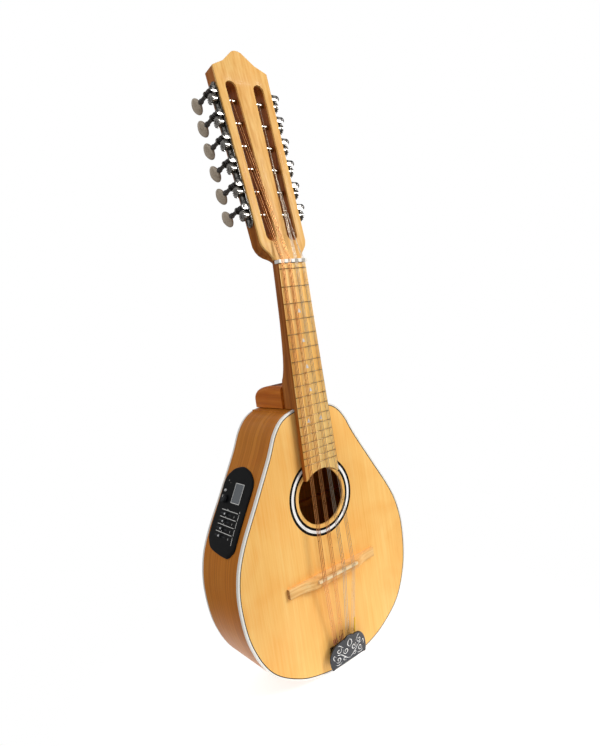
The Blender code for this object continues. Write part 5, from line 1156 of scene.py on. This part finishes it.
# Display: a small grey glass window with a thin pale printed frame, glued in level with
# the panel.
DISPLAY = ((0.0028, -0.0134), (0.0248, -0.0134), (0.0248, 0.0032), (0.0028, 0.0032))
PATCH_SUNK = -0.0003
display_glass = new_material("display_glass", (0.10, 0.115, 0.13), 0.16, 0.0, 0.6)
print_white = new_material("print_white", (0.72, 0.72, 0.70), 0.5)


def panel_patch(builder, corners, high, material_index=0):
    """Thin raised patch that follows the panel's bend; corners run round it in (along, across)."""
    first, second, third, fourth = (Vector(corner) for corner in corners)
    rows = []
    for index in range(7):
        share = index / 6
        left, right = first.lerp(second, share), fourth.lerp(third, share)
        rows.append([on_panel(left.x, left.y, PATCH_SUNK), on_panel(right.x, right.y, PATCH_SUNK),
                     on_panel(right.x, right.y, high), on_panel(left.x, left.y, high)])
    return loft(rows, builder, material_index)


def panel_bar(builder, start, end, width, high, material_index=0):
    start, end = Vector(start), Vector(end)
    side_step = Vector((-(end - start).y, (end - start).x)).normalized() * 0.5 * width
    corners = (start - side_step, end - side_step, end + side_step, start + side_step)
    return panel_patch(builder, corners, high, material_index)


builder = panel_patch(bmesh.new(), DISPLAY, 0.00012)
for index in range(4):
    panel_bar(builder, DISPLAY[index - 1], DISPLAY[index], 0.0007, 0.00022, 1)
screen = add_mesh("display", builder, [display_glass, print_white])
finish_piece(screen, "instrument", "black_plastic")

# Preamp marks: white printed lines, one scale beside each slider and a broken bracket
# along the panel's front edge, and two small metal dots.
SLIDERS = (-0.0106, -0.0186, -0.0266, -0.0346)
PRINT_RISE = 0.00006
BRACKET = ((-0.0034, -0.0058), (-0.0070, -0.0138), (-0.0152, -0.0220), (-0.0234, -0.0300), (-0.0312, -0.0400))
builder = bmesh.new()
for along in SLIDERS:
    panel_bar(builder, (along + 0.0042, 0.0163), (along + 0.0042, -0.0172), 0.00065, PRINT_RISE)
    panel_bar(builder, (along + 0.0048, 0.0046), (along + 0.0060, 0.0046), 0.0008, PRINT_RISE)
    panel_bar(builder, (along - 0.0014, -0.0116), (along + 0.0006, -0.0116), 0.0005, PRINT_RISE)
for start, end in BRACKET:
    panel_bar(builder, (start, -0.0196), (end, -0.0199), 0.0007, PRINT_RISE)
marks = add_mesh("preamp_print", builder, print_white)
finish_piece(marks, "instrument", "black_plastic")
builder = bmesh.new()
for along, across, radius in ((0.0258, 0.0190, 0.0011), (0.0238, 0.0146, 0.0006)):
    turned(((radius, -0.0003), (radius, 0.0002), (0.6 * radius, 0.0005)), 20, builder,
           place=panel_place(along, across))
dots = add_mesh("indicator_dots", builder, nickel)
finish_piece(dots, "instrument", "nickel")

# Preamp controls: grey plastic slider caps in their slots, each with a light mark on top,
# a fluted knob with a pale pointer and a small round button.
CAP = ((-0.0017, 0.0004), (0.0017, 0.0004), (0.0017, 0.0010), (0.0013, 0.0024), (0.0005, 0.0028), (0.0, 0.0025),
       (-0.0005, 0.0028), (-0.0013, 0.0024), (-0.0017, 0.0010))
CAP_MARK = ((-0.0010, 0.0022), (0.0010, 0.0022), (0.0009, 0.0029), (-0.0009, 0.0029))
KNOB_RADIUS = 0.0046
KNOB_FLUTES = 24
KNOB_ROWS = ((1.0, 0.0006), (1.0, 0.0028), (0.97, 0.0035), (0.86, 0.0040), (0.80, 0.0040), (0.76, 0.0037),
             (0.3, 0.0037))
POINTER = ((0.0008, -0.0003), (0.0038, -0.0003), (0.0038, 0.0003), (0.0008, 0.0003))
grey_plastic = moulded("grey_plastic", (0.030, 0.032, 0.036), 0.36, 0.00005)
cap_grey = moulded("cap_grey", (0.62, 0.63, 0.64), 0.40, 0.00004)
for index, along in enumerate(SLIDERS):
    builder = bmesh.new()
    panel_bar(builder, (along, -0.0048), (along, 0.0168), 0.0016, 0.00004)
    slot_piece = add_mesh(f"slider_slot_{index + 1}", builder, grey_plastic)
    finish_piece(slot_piece, "instrument", "black_plastic")
    place = panel_place(along, 0.0046)
    builder = loft([[place @ Vector((x, y, z)) for x, z in CAP] for y in (-0.0021, -0.0007, 0.0007, 0.0021)])
    loft([[place @ Vector((x, y, z)) for x, z in CAP_MARK] for y in (-0.0012, 0.0012)], builder, 1)
    slider = add_mesh(f"slider_cap_{index + 1}", builder, [grey_plastic, cap_grey])
    soften(slider, 0.0002)
    finish_piece(slider, f"eq_slider_{index + 1}", "black_plastic", f"eq_slider_{index + 1}")

place = panel_place(0.0052, 0.0174)
rings = []
for share, height in KNOB_ROWS:
    ring = []
    for index in range(3 * KNOB_FLUTES):
        angle = 2.0 * math.pi * index / (3 * KNOB_FLUTES)
        radius = KNOB_RADIUS * share * (1.0 - (0.03 if index % 3 == 0 and share > 0.96 else 0.0))
        ring.append(place @ Vector((radius * math.cos(angle), radius * math.sin(angle), height)))
    rings.append(ring)
builder = loft(rings)
turned(((0.0016, -0.0010), (0.0016, 0.0008)), 20, builder, place=place)
prism(builder, POINTER, 0.0034, 0.00405, place, 1)
knob = add_mesh("volume_knob_look", builder, [grey_plastic, print_white])
finish_piece(knob, "volume_knob", "black_plastic", "volume_knob", crease=28.0)

builder = turned(((0.0016, -0.0002), (0.0016, 0.0010), (0.0014, 0.0014), (0.0009, 0.0016)), 28,
                 place=panel_place(0.0143, 0.0202))
button = add_mesh("tune_button_look", builder, cap_grey)
finish_piece(button, "tune_button", "black_plastic", "tune_button")

# Pickup lead: a thin grey screened cable from the preamp's housing to the bridge's
# underside. It hangs free inside the body.
cable_grey = moulded("cable_grey", (0.16, 0.17, 0.19), 0.45, 0.00004)
builder = bmesh.new()
lead = smooth_run([(-0.0700, 0.0370, -0.2360), (-0.0520, 0.0480, -0.2520), (-0.0330, 0.0400, -0.2720),
                   (-0.0200, 0.0300, -0.3050), (-0.0120, 0.0150, -0.3350), (-0.0100, -0.0002, -0.3440)], 8)
tube(builder, lead, 0.0009, 10)
cable = add_mesh("pickup_lead", builder, cable_grey)
finish_piece(cable, "instrument", "black_plastic")

# Output jack: a turned nickel socket with a six-sided nut, through the rib near the tail.
# A flat washer spreads the nut's grip on the wood.
JACK_FRAME = Matrix(((-0.8906420, 0.0, 0.4547051, 0.0664181), (0.0, 1.0, 0.0, 0.0360000),
                     (-0.4547051, 0.0, -0.8906420, -0.4552811), (0.0, 0.0, 0.0, 1.0)))
WASHER_ROWS = ((0.0089, 0.0002), (0.0089, 0.0012), (0.0084, 0.0016), (0.0066, 0.0017), (0.0048, 0.0016))
HEXAGON_ROWS = ((1.0, 0.0012), (1.0, 0.0024), (0.95, 0.0028))
SOCKET_ROWS = ((0.0058, -0.0255), (0.0058, 0.0029), (0.0054, 0.0031), (0.0034, 0.0031), (0.0032, 0.0026),
               (0.0032, -0.0180))
builder = turned(WASHER_ROWS, 40, place=JACK_FRAME)
turned([(0.0072 * share, height) for share, height in HEXAGON_ROWS], 6, builder, place=JACK_FRAME)
turned(SOCKET_ROWS, 40, builder, place=JACK_FRAME)
jack = add_mesh("output_jack_look", builder, nickel)
finish_piece(jack, "instrument", "nickel", "output_jack")
